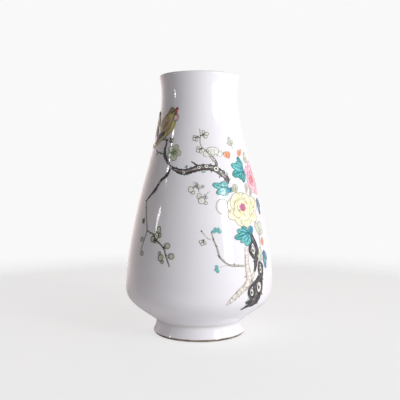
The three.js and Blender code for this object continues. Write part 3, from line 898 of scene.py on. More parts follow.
def paintBlossom(paint, put, radius, directions):
    for k, direction in enumerate(directions):
        paintPetal(paint, put, direction, radius * 0.2, radius * 0.82, radius * 0.84, k % 3, "grown")
    addWash(paint, put(oval(radius * 0.36, radius * 0.36, 10)), prunus["eye"], None, 3)
    around = np.linspace(0, 360, 11, endpoint=False) + directions[0] + 20
    paintStamens(paint, put, radius * 0.5, around, 3, "green")
    paintStamens(paint, put, radius * 0.34, around[::3] + 12, 3, "moor")


# A blossom seen from the side: its petals on one hand, its stamens and dark calyx at the root.
def paintSideBlossom(paint, put, radius, directions, calyx):
    for k, direction in enumerate(directions):
        length, width = radius * (1.35 - 0.12 * k), radius * (1.2 - 0.15 * k)
        paintPetal(paint, put, direction, radius * 0.2, length, width, k % 2)
    paintStamens(paint, put, radius * 0.8, [directions[0] - 18, directions[0] + 22, directions[-1] + 8], 2)
    for side in (-28, 0, 28):
        at = within(put, 0, 0, turnedBy(calyx + side))
        addLine(paint, "moor", at([(0, -0.5), (0.1, radius * 0.35), (0, radius * 0.7)]), 0.6, 2, (1, 0.3))


def paintBud(paint, put, radius, calyx):
    addWash(paint, put(oval(radius * 2, radius * 1.8)), prunus["bud"])
    addLine(paint, "sepia", put(oval(radius * 1.94, radius * 1.74)), prunus["ink"], 0, (0.7, 0.7), True)
    for side in (-35, 0, 35):
        at = within(put, 0, 0, turnedBy(calyx + side))
        addLine(paint, "moor", at([(0, radius * 0.5), (0, radius * 1.1)]), 0.5, 1, (0.3, 1))


# Rings that overlap, from the back one to the front one, each as a centre and a size.
def paintRings(paint, put, rings, layer, ink="sepia", tone="petal", width=0.55):
    for k, (centre, size) in enumerate(rings):
        paintRing(paint, put, centre, size, layer + k, ink, tone, width)


def paintProfile(paint, put):
    paintRings(paint, put, [((-5.4, -1.9), (6.0, 5.4)), ((6.2, -1.7), (5.4, 4.8)), ((0.6, -1.0), (9.4, 5.6)),
                            ((0.2, 0.8), (11.4, 6.6))], 0, width=0.36)
    paintStamens(paint, within(put, -5.2, -0.4), 2.4, (10, 45, -15, 150), 4, "moor")
    for bend in ((3.0, 4.4, 5.4), (-1.0, -1.8, -1.6), (1.2, 1.8, 1.6)):
        addLine(paint, "sepia", put(list(zip(bend, (-3.4, -1.2, 1.2)))), 0.3, 4)


def paintPair(paint, put):
    paintRings(paint, put, [((-4.6, -2.0), (4.6, 4.8)), ((-2.6, -4.6), (2.8, 2.8))], 1)
    burst = (75, 100, 50, 125, 25, 150, 0, 172, 200, -25)
    paintStamens(paint, within(put, 0.2, 0.4), 4.6, burst, 3)
    addLine(paint, "sepia", put([(0.4, 0.0), (3.0, -1.4), (4.8, -0.6)]), 0.5, 1)
    paintBud(paint, within(put, 5.6, 0.6), 1.2, 200)
    addLine(paint, "moor", put([(-3.2, -1.0), (-0.4, 0.2), (1.8, -1.8), (2.4, -4.6)]), 0.55, 2)


def paintLower(paint, put):
    rings = [((-2.2, 1.2), (4.4, 4.6)), ((-0.4, -2.4), (5.6, 5.4)), ((3.2, -4.6), (2.6, 2.4))]
    paintRings(paint, put, rings, 0)
    paintStamens(paint, within(put, 2.6, 0.4), 2.8, (20, -20, 60, 100, 150, -60, -90), 3, "moor")
    addLine(paint, "sepia", put([(1.4, 0.2), (-1.6, 1.0), (-2.8, 0.2)]), 0.5, 2)
    addLine(paint, "sepia", put([(2.6, 0.4), (4.2, 3.4), (7.6, 5.6)]), 0.45, 1)


def paintCluster(paint, put):
    paintRings(paint, put, [((1.2, 4.9), (4.2, 6.2)), ((-4.4, -3.0), (3.8, 4.6)), ((-1.2, -4.8), (3.4, 2.6)),
                            ((3.2, 0.8), (2.8, 3.8)), ((0, 0), (5.0, 5.4))], 0, "moor", "grown", 0.95)
    addLine(paint, "moor", put([(-3.6, 1.6), (-4.4, 0.6), (-4.0, -1.0)]), 0.7, 5)
    addLine(paint, "black", put([(-2.6, -5.0), (-0.8, -4.2), (1.0, -4.8)]), 1.0, 5)
    paintStamens(paint, within(put, 0.2, -2.2), 1.8, (240, 270, 300), 5, "moor")


def paintSmall(paint, put):
    paintRings(paint, put, [((-1.6, 3.8), (2.8, 2.4)), ((1.8, -3.2), (2.6, 2.8)), ((0, 0), (5.0, 5.4))],
               0, "moor", "grown", 0.75)
    addLine(paint, "black", put([(0.4, -2.4), (0.9, -3.2)]), 1.1, 4)


def paintBuds():
    buds = {
        "perch_bud_enamel": ((-35.6, 178.7), 2.3, 215),
        "droop_bud_right_enamel": ((-25, 88), 2.9, 200),
        "droop_bud_low_enamel": ((-21.1, 79.4), 2.9, 170),
        "droop_bud_tip_enamel": ((-50, 79.4), 2.3, 120),
        "droop_bud_mid_enamel": ((-52.8, 91.3), 2.3, 60),
        "droop_bud_high_enamel": ((-55.0, 107.2), 2.2, 20),
    }
    for node, (at, radius, calyx) in buds.items():
        paint = newPaint(node, 3)
        put = placeAt(*at)
        paintBud(paint, put, radius, calyx)
        if node in ("droop_bud_high_enamel", "perch_bud_enamel"):
            for side, ink, width in ((-1, "black", 0.9), (1, "moor", 0.7)):
                scale = [(side * radius * 0.8, radius * 1.3), (side * 0.3, -0.2),
                         (radius * 0.5, -radius * 1.1)]
                addLine(paint, ink, put(scale), width, 2)
        firePaint(paint, "prunus")


def paintPrunus():
    def blossom(node, at, paintIt, over=0):
        paint = newPaint(node, over)
        paintIt(paint, placeAt(*at))
        firePaint(paint, "prunus")

    blossom("open_blossom_enamel", (-30, 168), lambda paint, put: paintBlossom(
        paint, put, 7.3, (65, -7, -79, -151, 137)))
    blossom("far_blossom_enamel", (-92, 186), lambda paint, put: paintBlossom(
        paint, put, 4.4, (90, 18, -54, -126, 162)))
    sides = {
        "blossom_upper_right_enamel": ((5.6, 183.6), 2.8, (15, -50, 100), 215),
        "blossom_upper_left_enamel": ((-2.6, 181.4), 2.7, (215, 260, 170), 20),
        "blossom_upper_low_enamel": ((1.4, 171.0), 2.6, (215, 275, 150), 10),
        "grey_blossom_enamel": ((3.2, 92.6), 2.5, (250, 190, 310), 80),
    }
    for node, (at, radius, directions, calyx) in sides.items():
        blossom(node, at, lambda paint, put: paintSideBlossom(
            paint, put, radius, directions, calyx), 2)
    blossom("profile_blossom_enamel", (15.2, 168.6), paintProfile, 2)
    blossom("blossom_pair_enamel", (-2.6, 138.0), paintPair)
    blossom("blossom_lower_enamel", (2.6, 129.0), paintLower)
    blossom("blossom_cluster_enamel", (-35.6, 95.8), paintCluster, 3)
    blossom("blossom_side_enamel", (-29.9, 77.6), paintSmall)
    paintBuds()
    paint = newPaint("white_side_petal_enamel")
    put = placeAt(20.6, 121.4)
    addOutlined(paint, put(oval(12, 13, 24)), prunus["side"], "sepia", 0.3)
    addLine(paint, "sepia", put([(5.2, -1.6), (1.6, -0.4), (-1.4, 2.0)]), 0.2)
    firePaint(paint, "prunus")


paintPrunus()
print("prunus painted")


# Branches: sepia wash with a black underside, thorns, ringed knots, moss, and a ragged brush edge.
bark = dict(
    dark=[(0, "#57504d"), (0.5, "#4a4341"), (1, "#2e2829")],
    trunk=[(0, "#5a5356"), (0.5, "#484144"), (1, "#221e1f")],
    grey=[(0, "#8f8886"), (0.5, "#786f70"), (1, "#3a3334")],
    pale=[(0, "#e4ded6"), (0.6, "#d9d0c6"), (1, "#b5a99c")],
    twig=[(0, "#8b887c"), (1, "#66645a")],
    fine=[(0, "#a3a493"), (1, "#84856f")],
    faint=[(0, "#d8d3c6"), (1, "#a19b8c")],
    moss=[(0, "#98bdb4"), (0.6, "#b4cbc4"), (1, "#d5dfdc")],
    knotWhite=[(0, "#f2f0ea"), (1, "#e6e2da")],
    knotDark=[(0, "#1c1718"), (1, "#2a2324")],
    scar=[(0, "#e9c9c6"), (1, "#cfa6a2")],
    shade="#3a3334", paleBlot=("#ebe5dc", 0.7, 5), trunkBlot=("#6f686a", 0.55, 5),
)


def paintKnot(paint, put, size, layer=1):
    addWash(paint, put(oval(size * 2, size * 1.8, 12)), bark["knotWhite"], None, layer)
    addLine(paint, "black", put(oval(size * 2.1, size * 1.9, 12)), 0.28, layer, (0.5, 0.5), True)
    addWash(paint, put(oval(size * 0.9, size * 0.8, 10)), bark["knotDark"], None, layer + 1)


def paintThorns(paint, thorns, width=0.8):
    for angle, height, direction, long in thorns:
        at = placeAt(angle, height, turnedBy(direction))
        addLine(paint, "black", at([(0, -0.4), (0.15, long * 0.5), (0, long)]), width, 0, (1, 0.15))


# A black contour beside a route, on the side that the sign says.
def paintEdge(paint, route, side, width=0.6, ink="black", layer=0):
    route = np.asarray(route, float)
    forward, rate = headings(route)
    shift = side * route[:, 2] / 2
    angles = route[:, 0] - forward[:, 1] * shift * rate
    edge = np.stack([angles, route[:, 1] + forward[:, 0] * shift], -1)
    addLine(paint, ink, edge, width, layer, (0.5, 0.4))


def paintBough():
    paint = newPaint("bough_enamel")
    route = [(-33, 156.6, 1.6), (-29.5, 154.6, 2.4), (-23, 152.4, 3.2), (-16, 151.2, 3.8), (-8, 152.6, 3.8),
             (0.5, 154.8, 4.4), (9, 155.2, 4.2), (17, 153.6, 4.6), (23, 150.0, 4.6), (26.8, 146.8, 4.6),
             (28.6, 143.6, 3.8), (28.4, 140.4, 1.8)]
    addRibbon(paint, route, bark["grey"], 0, 0.3, (bark["shade"], 0.75, 7))
    lower = [(-29, 154.4, 1.2), (-22, 150.6, 1.7), (-15, 149.5, 1.9), (-7, 150.9, 1.8), (1, 152.9, 1.9),
             (9, 153.3, 1.9), (16, 151.8, 1.7), (20.6, 148.8, 1.2), (23.4, 146.6, 0.8)]
    addRibbon(paint, lower, bark["dark"], 1, 0.4)
    paintEdge(paint, route, 1, 0.7, "black", 1)
    spur = [(-1, 155.8, 1.8), (-4.4, 158.0, 1.4), (-8.4, 160.0, 0.7)]
    addRibbon(paint, spur, bark["dark"], 1, 0.3)
    stump = [(17.6, 155.4, 3.0), (18.6, 158.0, 2.4), (18.0, 160.4, 1.2)]
    addRibbon(paint, stump, bark["grey"], 1, 0.3, (bark["shade"], 0.7, 3))
    paintThorns(paint, [
        (-14, 149.6, 250, 2.2), (-10, 150.4, 220, 2.6), (-8.5, 150.8, 290, 1.8), (3, 152.4, 265, 2.0),
        (13, 152.0, 250, 1.8), (21, 147.2, 240, 1.8), (26.5, 144.0, 200, 1.8), (-24, 153.8, 100, 2.0),
        (-19, 152.8, 75, 1.6), (12, 157.2, 80, 1.6), (-12.6, 153.6, 110, 2.4), (-9, 154.6, 60, 1.6),
        (24, 151.6, 40, 1.8), (28.6, 148.4, 30, 1.8), (4, 157.2, 95, 1.4), (21, 152.6, 55, 2.0),
        (30.2, 144.6, 10, 2.4), (27.0, 141.2, 240, 2.0), (26.0, 150.4, 60, 1.6), (23.0, 152.0, 30, 1.4),
    ])
    knots = [(-0.4, 154.9, 1.6), (7.4, 155.9, 1.8), (17.6, 153.7, 2.3), (-15.6, 150.5, 1.4),
             (28.1, 149.2, 1.2), (22.6, 151.2, 1.0), (-31.2, 155.4, 1.0)]
    for angle, height, size in knots:
        paintKnot(paint, placeAt(angle, height), size, 3)
    # White strokes along the bough: painted highlights, standing for glints on its glossy enamel.
    lights = [(-25, 152.8, 4, -10), (-5, 153.2, 5, 12), (10, 154.8, 5, -4), (24.6, 147.6, 4, -40),
              (13.6, 155.0, 3, -8)]
    for angle, height, long, direction in lights:
        at = placeAt(angle, height, direction)
        addLine(paint, "white", at([(-long / 2, 0), (0, 0.3), (long / 2, 0)]), 0.5, 1, (0.2, 0.2))
    tufts = [(-13.2, 155.6, 4.2, 2.8), (-11, 149.2, 4.6, 2.4), (5.4, 151.0, 4.6, 2.0),
             (-15.4, 149.0, 2.6, 2.0), (25.6, 152.0, 2.6, 1.8)]
    for angle, height, wide, tall in tufts:
        put = placeAt(angle, height, 20)
        addWash(paint, put(oval(wide, tall, 12)), bark["moss"])
        tuft = [(-wide * 0.3, -tall * 0.2), (0, tall * 0.3), (wide * 0.3, -tall * 0.2)]
        addLine(paint, "moor", put(tuft), 0.35)
    # White dots on the bough: painted glints.
    addDots(paint, "white", [(-17, 152), (-16.2, 151.6), (20, 152.2), (1.8, 156.6)], 0.8, 2)
    firePaint(paint, "bark")


# One branch of the prunus: its wash, black edges, thorns and the dark nodes along it.
def paintBranch(node, tone, route, edges=(), thorns=(), nodes=(), knots=(), whites=(),
                ragged=0.2, far=()):
    paint = newPaint(node)
    if far:
        addRibbon(paint, far, bark["twig"], 0, 0.2)
    addRibbon(paint, route, bark[tone], 0, ragged)
    for side in edges:
        paintEdge(paint, route, side, 0.5, "black" if tone == "dark" else "umber")
    paintThorns(paint, thorns, 0.7)
    for angle, height, size in nodes:
        addWash(paint, placeAt(angle, height, 30)(oval(size, size * 0.8, 10)), bark["knotDark"], None, 1)
    for angle, height, size in knots:
        paintKnot(paint, placeAt(angle, height), size)
    for line in whites:
        addLine(paint, "white", line, 0.45, 1, (0.2, 0.2))
    firePaint(paint, "bark")


def paintBranches():
    paintBough()
    paintBranch("perch_branch_enamel", "dark", [
        (-31, 155.0, 1.4), (-34, 158.0, 1.8), (-38, 161.5, 2.4), (-42, 165.5, 3.0), (-43.6, 170, 2.4),
        (-42.8, 175, 1.7), (-43.4, 178.6, 1.5)],
        (1,), [(-45, 172, 190, 1.6), (-36, 159.4, 250, 1.8), (-34, 158.6, 70, 1.6), (-43, 179, 60, 3.0)],
        [(-42.8, 178.9, 2.6), (-42.4, 166.2, 1.4)], (), [[(-32, 156), (-34.4, 158.4), (-37, 160.4)]], 0.3,
        [(-43, 179, 1.5), (-48, 179.8, 1.5), (-54, 179.4, 1.3), (-60, 177.2, 1.2), (-67, 173.4, 1.0)])
    paintBranch("perch_twig_enamel", "twig", [
        (-45.4, 166.8, 1.2), (-51, 167.6, 1.4), (-57, 168.8, 1.3), (-62.5, 170.8, 1.1)],
        (), [(-57, 168.6, 250, 3.0), (-50, 167.6, 120, 1.4)], [(-57.4, 166.6, 1.8), (-51, 167.8, 1.2)])
    paintBranch("far_twig_enamel", "twig", [
        (-68, 172.6, 1.2), (-76, 174.5, 1.2), (-85, 174, 1.1), (-93, 178, 1), (-99, 185, 0.8)],
        (), [(-74, 174, 240, 2.4), (-88, 175.4, 80, 2.0), (-80, 174.6, 100, 1.6)], [(-96, 181.4, 1.2)])
    paintBranch("drooping_branch_enamel", "dark", [
        (-31.4, 153.8, 1.4), (-34.5, 147.8, 2.2), (-40.1, 144.1, 2.0), (-43.4, 139.6, 1.6),
        (-46.4, 135.3, 2.6), (-50.6, 131.2, 1.8), (-54.2, 127.8, 1.6), (-56.8, 125, 1.2)],
        (1, -1), [(-36, 148.4, 340, 2.0), (-50, 131.4, 350, 2.0), (-57.6, 125, 180, 2.2),
                  (-44, 139.6, 160, 2.0), (-33.4, 150.6, 200, 1.8), (-47, 134.0, 320, 2.0),
                  (-39, 145.4, 340, 1.6)],
        [(-46, 136, 2.4), (-40, 144.6, 2.0), (-53.4, 129.0, 1.6), (-54.9, 119.2, 2.0), (-36, 148.6, 1.6)],
        [(-42.2, 141.8, 1.1)], (), 0.35,
        [(-56.4, 125.2, 1.4), (-55.6, 122, 1.4), (-53.6, 116.5, 1.5), (-51.6, 111, 1.3), (-50, 106.7, 1.2),
         (-47.9, 99.6, 1.5), (-48.6, 95, 1.2), (-50, 89.6, 1.2), (-52.2, 81.6, 1.0)])
    paintBranch("drooping_twig_enamel", "twig", [
        (-46.8, 99.2, 1.2), (-43, 98, 1.3), (-39.7, 97.0, 1.2), (-36.4, 93.4, 1.1), (-34.8, 91.6, 1.4),
        (-28.1, 85.8, 1.4), (-25.9, 80, 1.4), (-22.2, 70.6, 1.1)],
        (), [(-29, 86.4, 30, 3.0), (-26, 80.4, 340, 2.4), (-33, 90.6, 230, 2.0), (-43, 98, 250, 1.6)],
        [(-28, 86, 1.5), (-43, 98, 1.4), (-46.8, 99.2, 1.6)])
    paintBranch("upper_twig_enamel", "fine", [
        (0.6, 189, 0.6), (1.4, 183, 0.8), (1.0, 177, 0.8), (3.2, 172.4, 0.8), (8.5, 169.4, 0.7)],
        (), [(1.4, 182.4, 30, 3.0), (1.0, 180.6, 165, 2.2), (3.4, 171.6, 190, 2.0), (4.8, 184, 100, 2.0)],
        [(1.8, 182.8, 1.0), (3.4, 171.8, 1.0)], (), (), 0.1)
    paintBranch("profile_blossom_stem_enamel", "pale", [
        (12, 165.4, 1.6), (14.8, 162.6, 2.4), (17.4, 160.2, 2.4), (18.6, 158.2, 2.2)],
        (1, -1), [(14.6, 164.0, 110, 1.8), (17, 160.8, 20, 1.4)], [(15.8, 162.6, 1.0)])
    paintTrunks()
    paintBranch("side_branch_enamel", "faint", [
        (35.4, 70.2, 1.5), (30.5, 70.9, 1.3), (26, 71.3, 1.4), (21.5, 72.8, 1.1), (16.4, 77.6, 1.0),
        (14.9, 80.4, 1.1), (13.4, 87.4, 0.9), (11.4, 92.8, 0.9), (10.2, 97.4, 0.8), (9.6, 100.3, 0.7)],
        (1, -1), [(26.4, 71.8, 80, 2.0), (15, 80, 170, 2.0), (10.8, 94, 60, 1.6), (13, 88, 10, 1.4)],
        [(30, 71.2, 1.2), (15.2, 79.4, 1.3), (12.6, 89, 1.1), (9.7, 100, 1.2), (11, 93.4, 1.0)])
    paintBranch("side_twig_enamel", "faint", [
        (9.2, 93.7, 0.9), (6, 95.4, 0.9), (1.9, 100.9, 0.9)],
        (), [(2.2, 100.6, 150, 1.6)], [(1.7, 101.2, 1.2)])


# The old trunk is nearly black, with white hollows in it, and a pale young trunk crosses behind.
def paintTrunks():
    paint = newPaint("pale_trunk_enamel")
    route = [(38.8, 86, 3.0), (38.6, 79, 4.0), (38.0, 72, 4.2), (38.8, 64, 5.8), (39, 58, 6.4),
             (36, 53, 5.6), (31.5, 49.5, 5.0), (27, 45.5, 4.4), (22.5, 41, 3.0), (20, 38, 1.2)]
    fork = [(40.6, 57.0, 3.6), (43.4, 61.0, 3.0), (46.4, 66.6, 2.2), (48.6, 70.6, 1.2)]
    addRibbon(paint, fork, bark["pale"], 0, 0.2, bark["paleBlot"])
    paintEdge(paint, fork, -1, 0.25, "ochre")
    addRibbon(paint, route, bark["pale"], 1, 0.2, bark["paleBlot"])
    for side in (1, -1):
        paintEdge(paint, route, side, 0.28, "umber")
    for angle, height, size in ((39.4, 57.7, 1.5), (36.3, 51.6, 1.4), (31.6, 47.4, 1.2), (26.4, 42.4, 1.3),
                                (36.4, 61.2, 1.0), (29.6, 44.6, 0.9)):
        addWash(paint, placeAt(angle, height, 20)(oval(size, size * 0.85, 10)), bark["knotDark"], None, 1)
    paintThorns(paint, [(36, 61, 200, 2.4), (33, 51.4, 110, 2.0), (28, 47.2, 120, 1.8), (24, 43.4, 110, 1.8),
                        (22.5, 40.4, 300, 1.6), (37.4, 77, 180, 1.6)], 0.6)
    for angle, height in ((38.2, 82), (38, 75), (38.4, 68), (34, 51.4), (30, 48.4), (38.8, 61)):
        at = placeAt(angle, height, 15)
        addLine(paint, "umber", at([(-1.2, 0.2), (0, -0.4), (1.2, 0.3)]), 0.25, 0, (0.3, 0.3))
    addWash(paint, placeAt(38.6, 78.6)(oval(2.2, 2.4, 10)), bark["scar"], None, 1)
    firePaint(paint, "bark")

    paint = newPaint("dark_trunk_enamel", 2)
    upper = [(46.2, 97.8, 3.0), (47.2, 94, 3.8), (48.6, 90.4, 4.2), (50.6, 86, 3.8), (51.0, 81.4, 3.6),
             (49.6, 77.4, 4.4), (48.0, 72.8, 4.4), (46.8, 68.4, 3.2), (45.0, 64.2, 1.4)]
    inner = [(46.4, 90.5, 2.2), (43.4, 86.8, 2.0), (42.2, 82.6, 1.8), (43.8, 79.0, 2.2), (46.6, 75.8, 3.0)]
    stem = [(52.0, 72.4, 1.6), (55.6, 68.6, 2.2), (54.6, 62.4, 3.4), (52.2, 58.6, 6.6), (49.2, 55.0, 7.6),
            (45.8, 50.8, 6.6), (45.8, 46.0, 7.4), (46.4, 42.0, 10.6), (43.6, 38.0, 8.4), (38.6, 35.0, 3.0),
            (33.6, 32.0, 0.9)]
    outer = [(52.4, 58.5, 2.6), (53.2, 53.5, 2.2), (52.6, 48.0, 2.2), (50.2, 43.0, 3.0), (47.0, 39.4, 2.8)]
    left = [(47.4, 56.4, 2.2), (42.8, 53.8, 2.0), (39.0, 49.9, 2.0), (38.4, 45.4, 2.0), (40.8, 41.8, 2.8)]
    root = [(42, 40, 3.0), (38.6, 38.8, 2.4), (36.2, 37.4, 1.2)]
    fork = [(52.0, 72.0, 1.8), (50.4, 66.4, 1.6), (50.8, 60.6, 2.2)]
    for k, route in enumerate((stem, outer, left, inner, upper, root, fork)):
        addRibbon(paint, route, bark["trunk"], k % 3, 0.35, bark["trunkBlot"])
        for side in (1, -1):
            paintEdge(paint, route, side, 0.7, "black", k % 3)
    hollows = [((46.2, 82.5), (4.6, 7.8), 12), ((52.7, 65.0), (3.8, 7.0), 0), ((41.2, 46.8), (4.4, 7.2), 12),
               ((49.4, 50.2), (6.4, 9.4), -10)]
    for (angle, height), (wide, tall), turn in hollows:
        at = placeAt(angle, height, turn)
        addOutlined(paint, at(oval(wide, tall, 14)), bark["knotWhite"], "black", 0.7, 3)
        addLine(paint, "black", at(curl(wide * 0.3) * (1, 1.5)), 0.5, 4, (0.4, 0.4))
        addWash(paint, at(oval(wide * 0.26, wide * 0.5, 9, (-wide * 0.06, 0))), bark["knotDark"], None, 4)
    paintThorns(paint, [
        (47, 66.6, 260, 2.2), (56, 67.4, 20, 1.8), (55, 61.6, -10, 1.8), (54.6, 56, 20, 1.8),
        (52.8, 43.6, -30, 2.2), (38.4, 34.8, 215, 4.2), (37, 38.6, 170, 2.4), (46, 72.6, 150, 2.2),
        (48.6, 36.4, -40, 2.4), (51.8, 80.4, 0, 1.6), (42, 56, 120, 1.8), (43.8, 90.6, 200, 1.4),
    ], 1.0)
    for angle, height, turn in ((48, 92, 75), (50.4, 61, 60), (46, 44.4, 40), (43.4, 40.4, 20),
                                (47.4, 53.4, 70)):
        at = placeAt(angle, height, turn)
        addLine(paint, "white", at([(-1.8, 0), (0, 0.4), (1.8, 0)]), 0.4, 3, (0.2, 0.2))
    addDots(paint, "moss", [(37.6, 40.6), (38.4, 41.8), (36.8, 39.6), (39.2, 43)], 1.2, 2)
    firePaint(paint, "bark")


paintBranches()
print("branches painted")


# Peony leaves: copper teal run into blue, with dark veins, cut into pointed leaflets.
leaves = dict(
    teal=[(0, "#4a8fc0"), (0.3, "#3aa3ac"), (0.75, "#44b0a4"), (1, "#2c8f88")],
    mid=[(0, "#5a9fd0"), (0.35, "#58c0cc"), (0.8, "#7ad4ca"), (1, "#4ab0a8")],
    blue=[(0, "#5a84c0"), (0.5, "#4a93c4"), (1, "#49a9bc")],
    pale=[(0, "#8fd0dc"), (0.6, "#98dcd6"), (1, "#5db8b2")],
    slate=[(0, "#86a9c4"), (0.6, "#6f9fbf"), (1, "#4f86a6")],
    calyx=[(0, "#b9a690"), (0.4, "#c3cdb2"), (1, "#d3dcc6")],
    celadon=[(0, "#d2dec8"), (0.6, "#e2e9dc"), (1, "#c9d5c0")],
    coral=[(0, "#e67a3c"), (0.45, "#f0975c"), (0.8, "#f6bb93"), (1, "#f2a678")],
    tealBlot=("#2f8fb0", 0.35, 5), celadonBlot=("#e6c9b8", 0.3, 6), calyxBlot=("#c9b29c", 0.4, 5),
    coralBlot=("#f8d6bd", 0.5, 4),
)


def paintLeaflet(paint, put, direction, length, width, tone, layer, ink="tealDark"):
    at = within(put, 0, 0, turnedBy(direction))
    heart = at((0, length * 0.22))
    addOutlined(paint, at(leaflet(length, width)), leaves[tone], ink, 0.28, layer, heart,
                leaves["tealBlot"], 0.4)
    midrib = [(0, 0), (width * 0.04, length * 0.5), (0, length * 0.94)]
    addLine(paint, ink, at(midrib), 0.5, layer, (1, 0.3))
    if length > 9:
        for side in (-1, 1):
            streak = [(side * width * 0.16, length * 0.3), (side * width * 0.22, length * 0.8)]
            addLine(paint, "foam", at(streak), 0.5, layer, (0.3, 0.3))
    for share in (0.22, 0.42, 0.62):
        for side in (-1, 1):
            vein = [(0, length * share), (side * width * 0.2, length * (share + 0.1)),
                    (side * width * 0.36, length * (share + 0.15))]
            addLine(paint, ink, at(vein), 0.28, layer, (1, 0.2))


# A plain blade with an outline, as pale leaves and sepals are.
def paintBlade(paint, at, length, width, tone, outlineWidth, layer):
    heart = at((0, length * 0.3))
    addOutlined(paint, at(leaflet(length, width, 1)), leaves[tone], "sepia", outlineWidth, layer, heart,
                leaves[tone + "Blot"])


def paintLeaves():
    cut = {
        "teal_leaf_upper_enamel": ((53.4, 152.4), [
            (112, 13, 6.4, "teal"), (138, 11, 5.6, "mid"),
            (162, 15.6, 7.0, "mid"), (196, 15.6, 8.6, "teal"),
            (226, 10.8, 6.0, "teal"), (252, 11.4, 5.2, "teal"),
            (175, 8, 5.5, "blue"), (265, 7, 4.2, "blue")]),
        "teal_leaf_lower_enamel": ((44.6, 97.4), [
            (168, 14.4, 6.0, "mid"), (190, 17.4, 6.6, "teal"),
            (212, 13.4, 5.6, "mid"), (144, 10.4, 5.4, "teal"),
            (240, 12.0, 8.0, "mid"), (48, 7.5, 6, "blue"),
            (200, 7, 4.6, "blue")]),
        "teal_leaf_small_enamel": ((28.6, 136.2), [
            (160, 8.6, 7.0, "pale"), (164, 15.4, 6.0, "mid"),
            (196, 12.4, 6.0, "pale"), (216, 8.6, 5.6, "pale"),
            (138, 9.0, 6.6, "pale"), (-30, 3.4, 5.0, "blue"),
            (182, 6.4, 5.4, "blue")]),
        "teal_leaf_far_enamel": ((100, 142), [
            (55, 12, 6, "teal"), (20, 10, 5, "teal"), (90, 10, 5, "pale"),
            (-20, 7, 4.4, "blue")]),
        "blue_leaf_upper_enamel": ((70.5, 127), [
            (262, 15, 6.4, "slate"), (290, 9, 4.4, "slate"),
            (240, 7, 3.6, "slate")]),
        "blue_leaf_lower_enamel": ((61.6, 81), [
            (268, 16, 6.6, "slate"), (295, 10, 4.4, "slate"),
            (245, 7, 3.6, "slate")]),
    }
    for node, (at, leaflets) in cut.items():
        paint = newPaint(node, 3)
        for k, (direction, length, width, tone) in enumerate(leaflets):
            ink = "blueDark" if tone == "slate" else "tealDark"
            paintLeaflet(paint, placeAt(*at), direction, length, width, tone, k % 3, ink)
        firePaint(paint, "leaf")
    sprigs = {
        "sprig_leaf_upper_enamel": ((14, 100.4), [(178, 4.6, 3.0), (-2, 4.6, 3.2), (50, 4.0, 3.0),
                                                  (120, 3.8, 3.0)]),
        "sprig_leaf_lower_enamel": ((13.6, 69.4), [(120, 3.6, 2.8), (200, 3.2, 2.6), (265, 3.6, 2.8)]),
    }
    for node, (at, leaflets) in sprigs.items():
        paint = newPaint(node)
        for k, (direction, length, width) in enumerate(leaflets):
            paintLeaflet(paint, placeAt(*at), direction, length, width, "pale", k % 2, "tealMid")
        if "lower" in node:
            addLine(paint, "sepia", [(13.8, 69.8), (18, 71.6), (25, 71.4)], 0.3)
        firePaint(paint, "leaf")
    paintPaleLeaves()


# Young leaves and bud scales in pale celadon, and the coral buds beside them.
def paintPaleLeaves():
    scales = {
        "pale_leaf_bud_enamel": ((40.6, 174), [(100, 8, 3.4), (60, 5.4, 2.6), (140, 5, 2.4)]),
        "pale_leaf_upper_enamel": ((63.0, 159), [(80, 10, 5.0), (40, 6, 3.6), (120, 5, 3.0)]),
        "pale_leaf_right_enamel": ((58.4, 95), [(62, 13, 7.6), (22, 8.4, 4.6), (108, 12, 6.0)]),
        "pale_leaf_low_enamel": ((54.6, 72.6), [(82, 12, 6.0), (46, 7, 4.0), (126, 7, 4.0)]),
    }
    for node, (at, blades) in scales.items():
        paint = newPaint(node, 3)
        put = placeAt(*at)
        for k, (direction, length, width) in enumerate(blades):
            blade = within(put, 0, 0, turnedBy(direction))
            paintBlade(paint, blade, length, width, "celadon", 0.24, k)
            addLine(paint, "sepia", blade([(0, 0), (0, length * 0.85)]), 0.24, k, (1, 0.3))
            for side in (-1, 1):
                vein = [(0, length * 0.3), (side * width * 0.3, length * 0.62)]
                addLine(paint, "sepia", blade(vein), 0.18, k, (1, 0.2))
        if node == "pale_leaf_right_enamel":
            addLine(paint, "sepia", [(57.8, 96), (57.4, 90), (56.6, 83)], 0.5)
        if node == "pale_leaf_bud_enamel":
            addLine(paint, "sepia", [(38.6, 182), (39.6, 178), (41.6, 174.6), (43, 170.4)], 0.3)
        firePaint(paint, "leaf")
    buds = {
        "orange_bud_left_enamel": ((34.6, 162.9), [(86, 6.0, 3.6), (118, 6.6, 4.0), (138, 6.9, 3.4)]),
        "orange_bud_right_enamel": ((50.6, 164.8), [(84, 5.4, 3.2), (48, 8.0, 3.8)]),
        "orange_bud_low_enamel": ((61.4, 85.0), [(100, 6.0, 3.6), (78, 7.2, 4.0)]),
    }
    for node, (at, tips) in buds.items():
        paint = newPaint(node, 4)
        for k, (direction, long, wide) in enumerate(tips):
            scale = within(placeAt(*at), 0, 0, turnedBy(direction))
            addOutlined(paint, scale(leaflet(long, wide, 1)), leaves["coral"], "rust", 0.24, k,
                        scale((0, long * 0.5)), leaves["coralBlot"], 0.4)
            for side in (-0.2, 0.2):
                addLine(paint, "rust", scale([(0, long * 0.1), (side * wide, long * 0.7)]), 0.26, k, (1, 0.2))
        addLine(paint, "umber", scale([(0, long * 0.86), (0, long * 1.1)]), 0.5, k, (0.6, 0.3))
        firePaint(paint, "peony")


paintLeaves()
print("leaves painted")


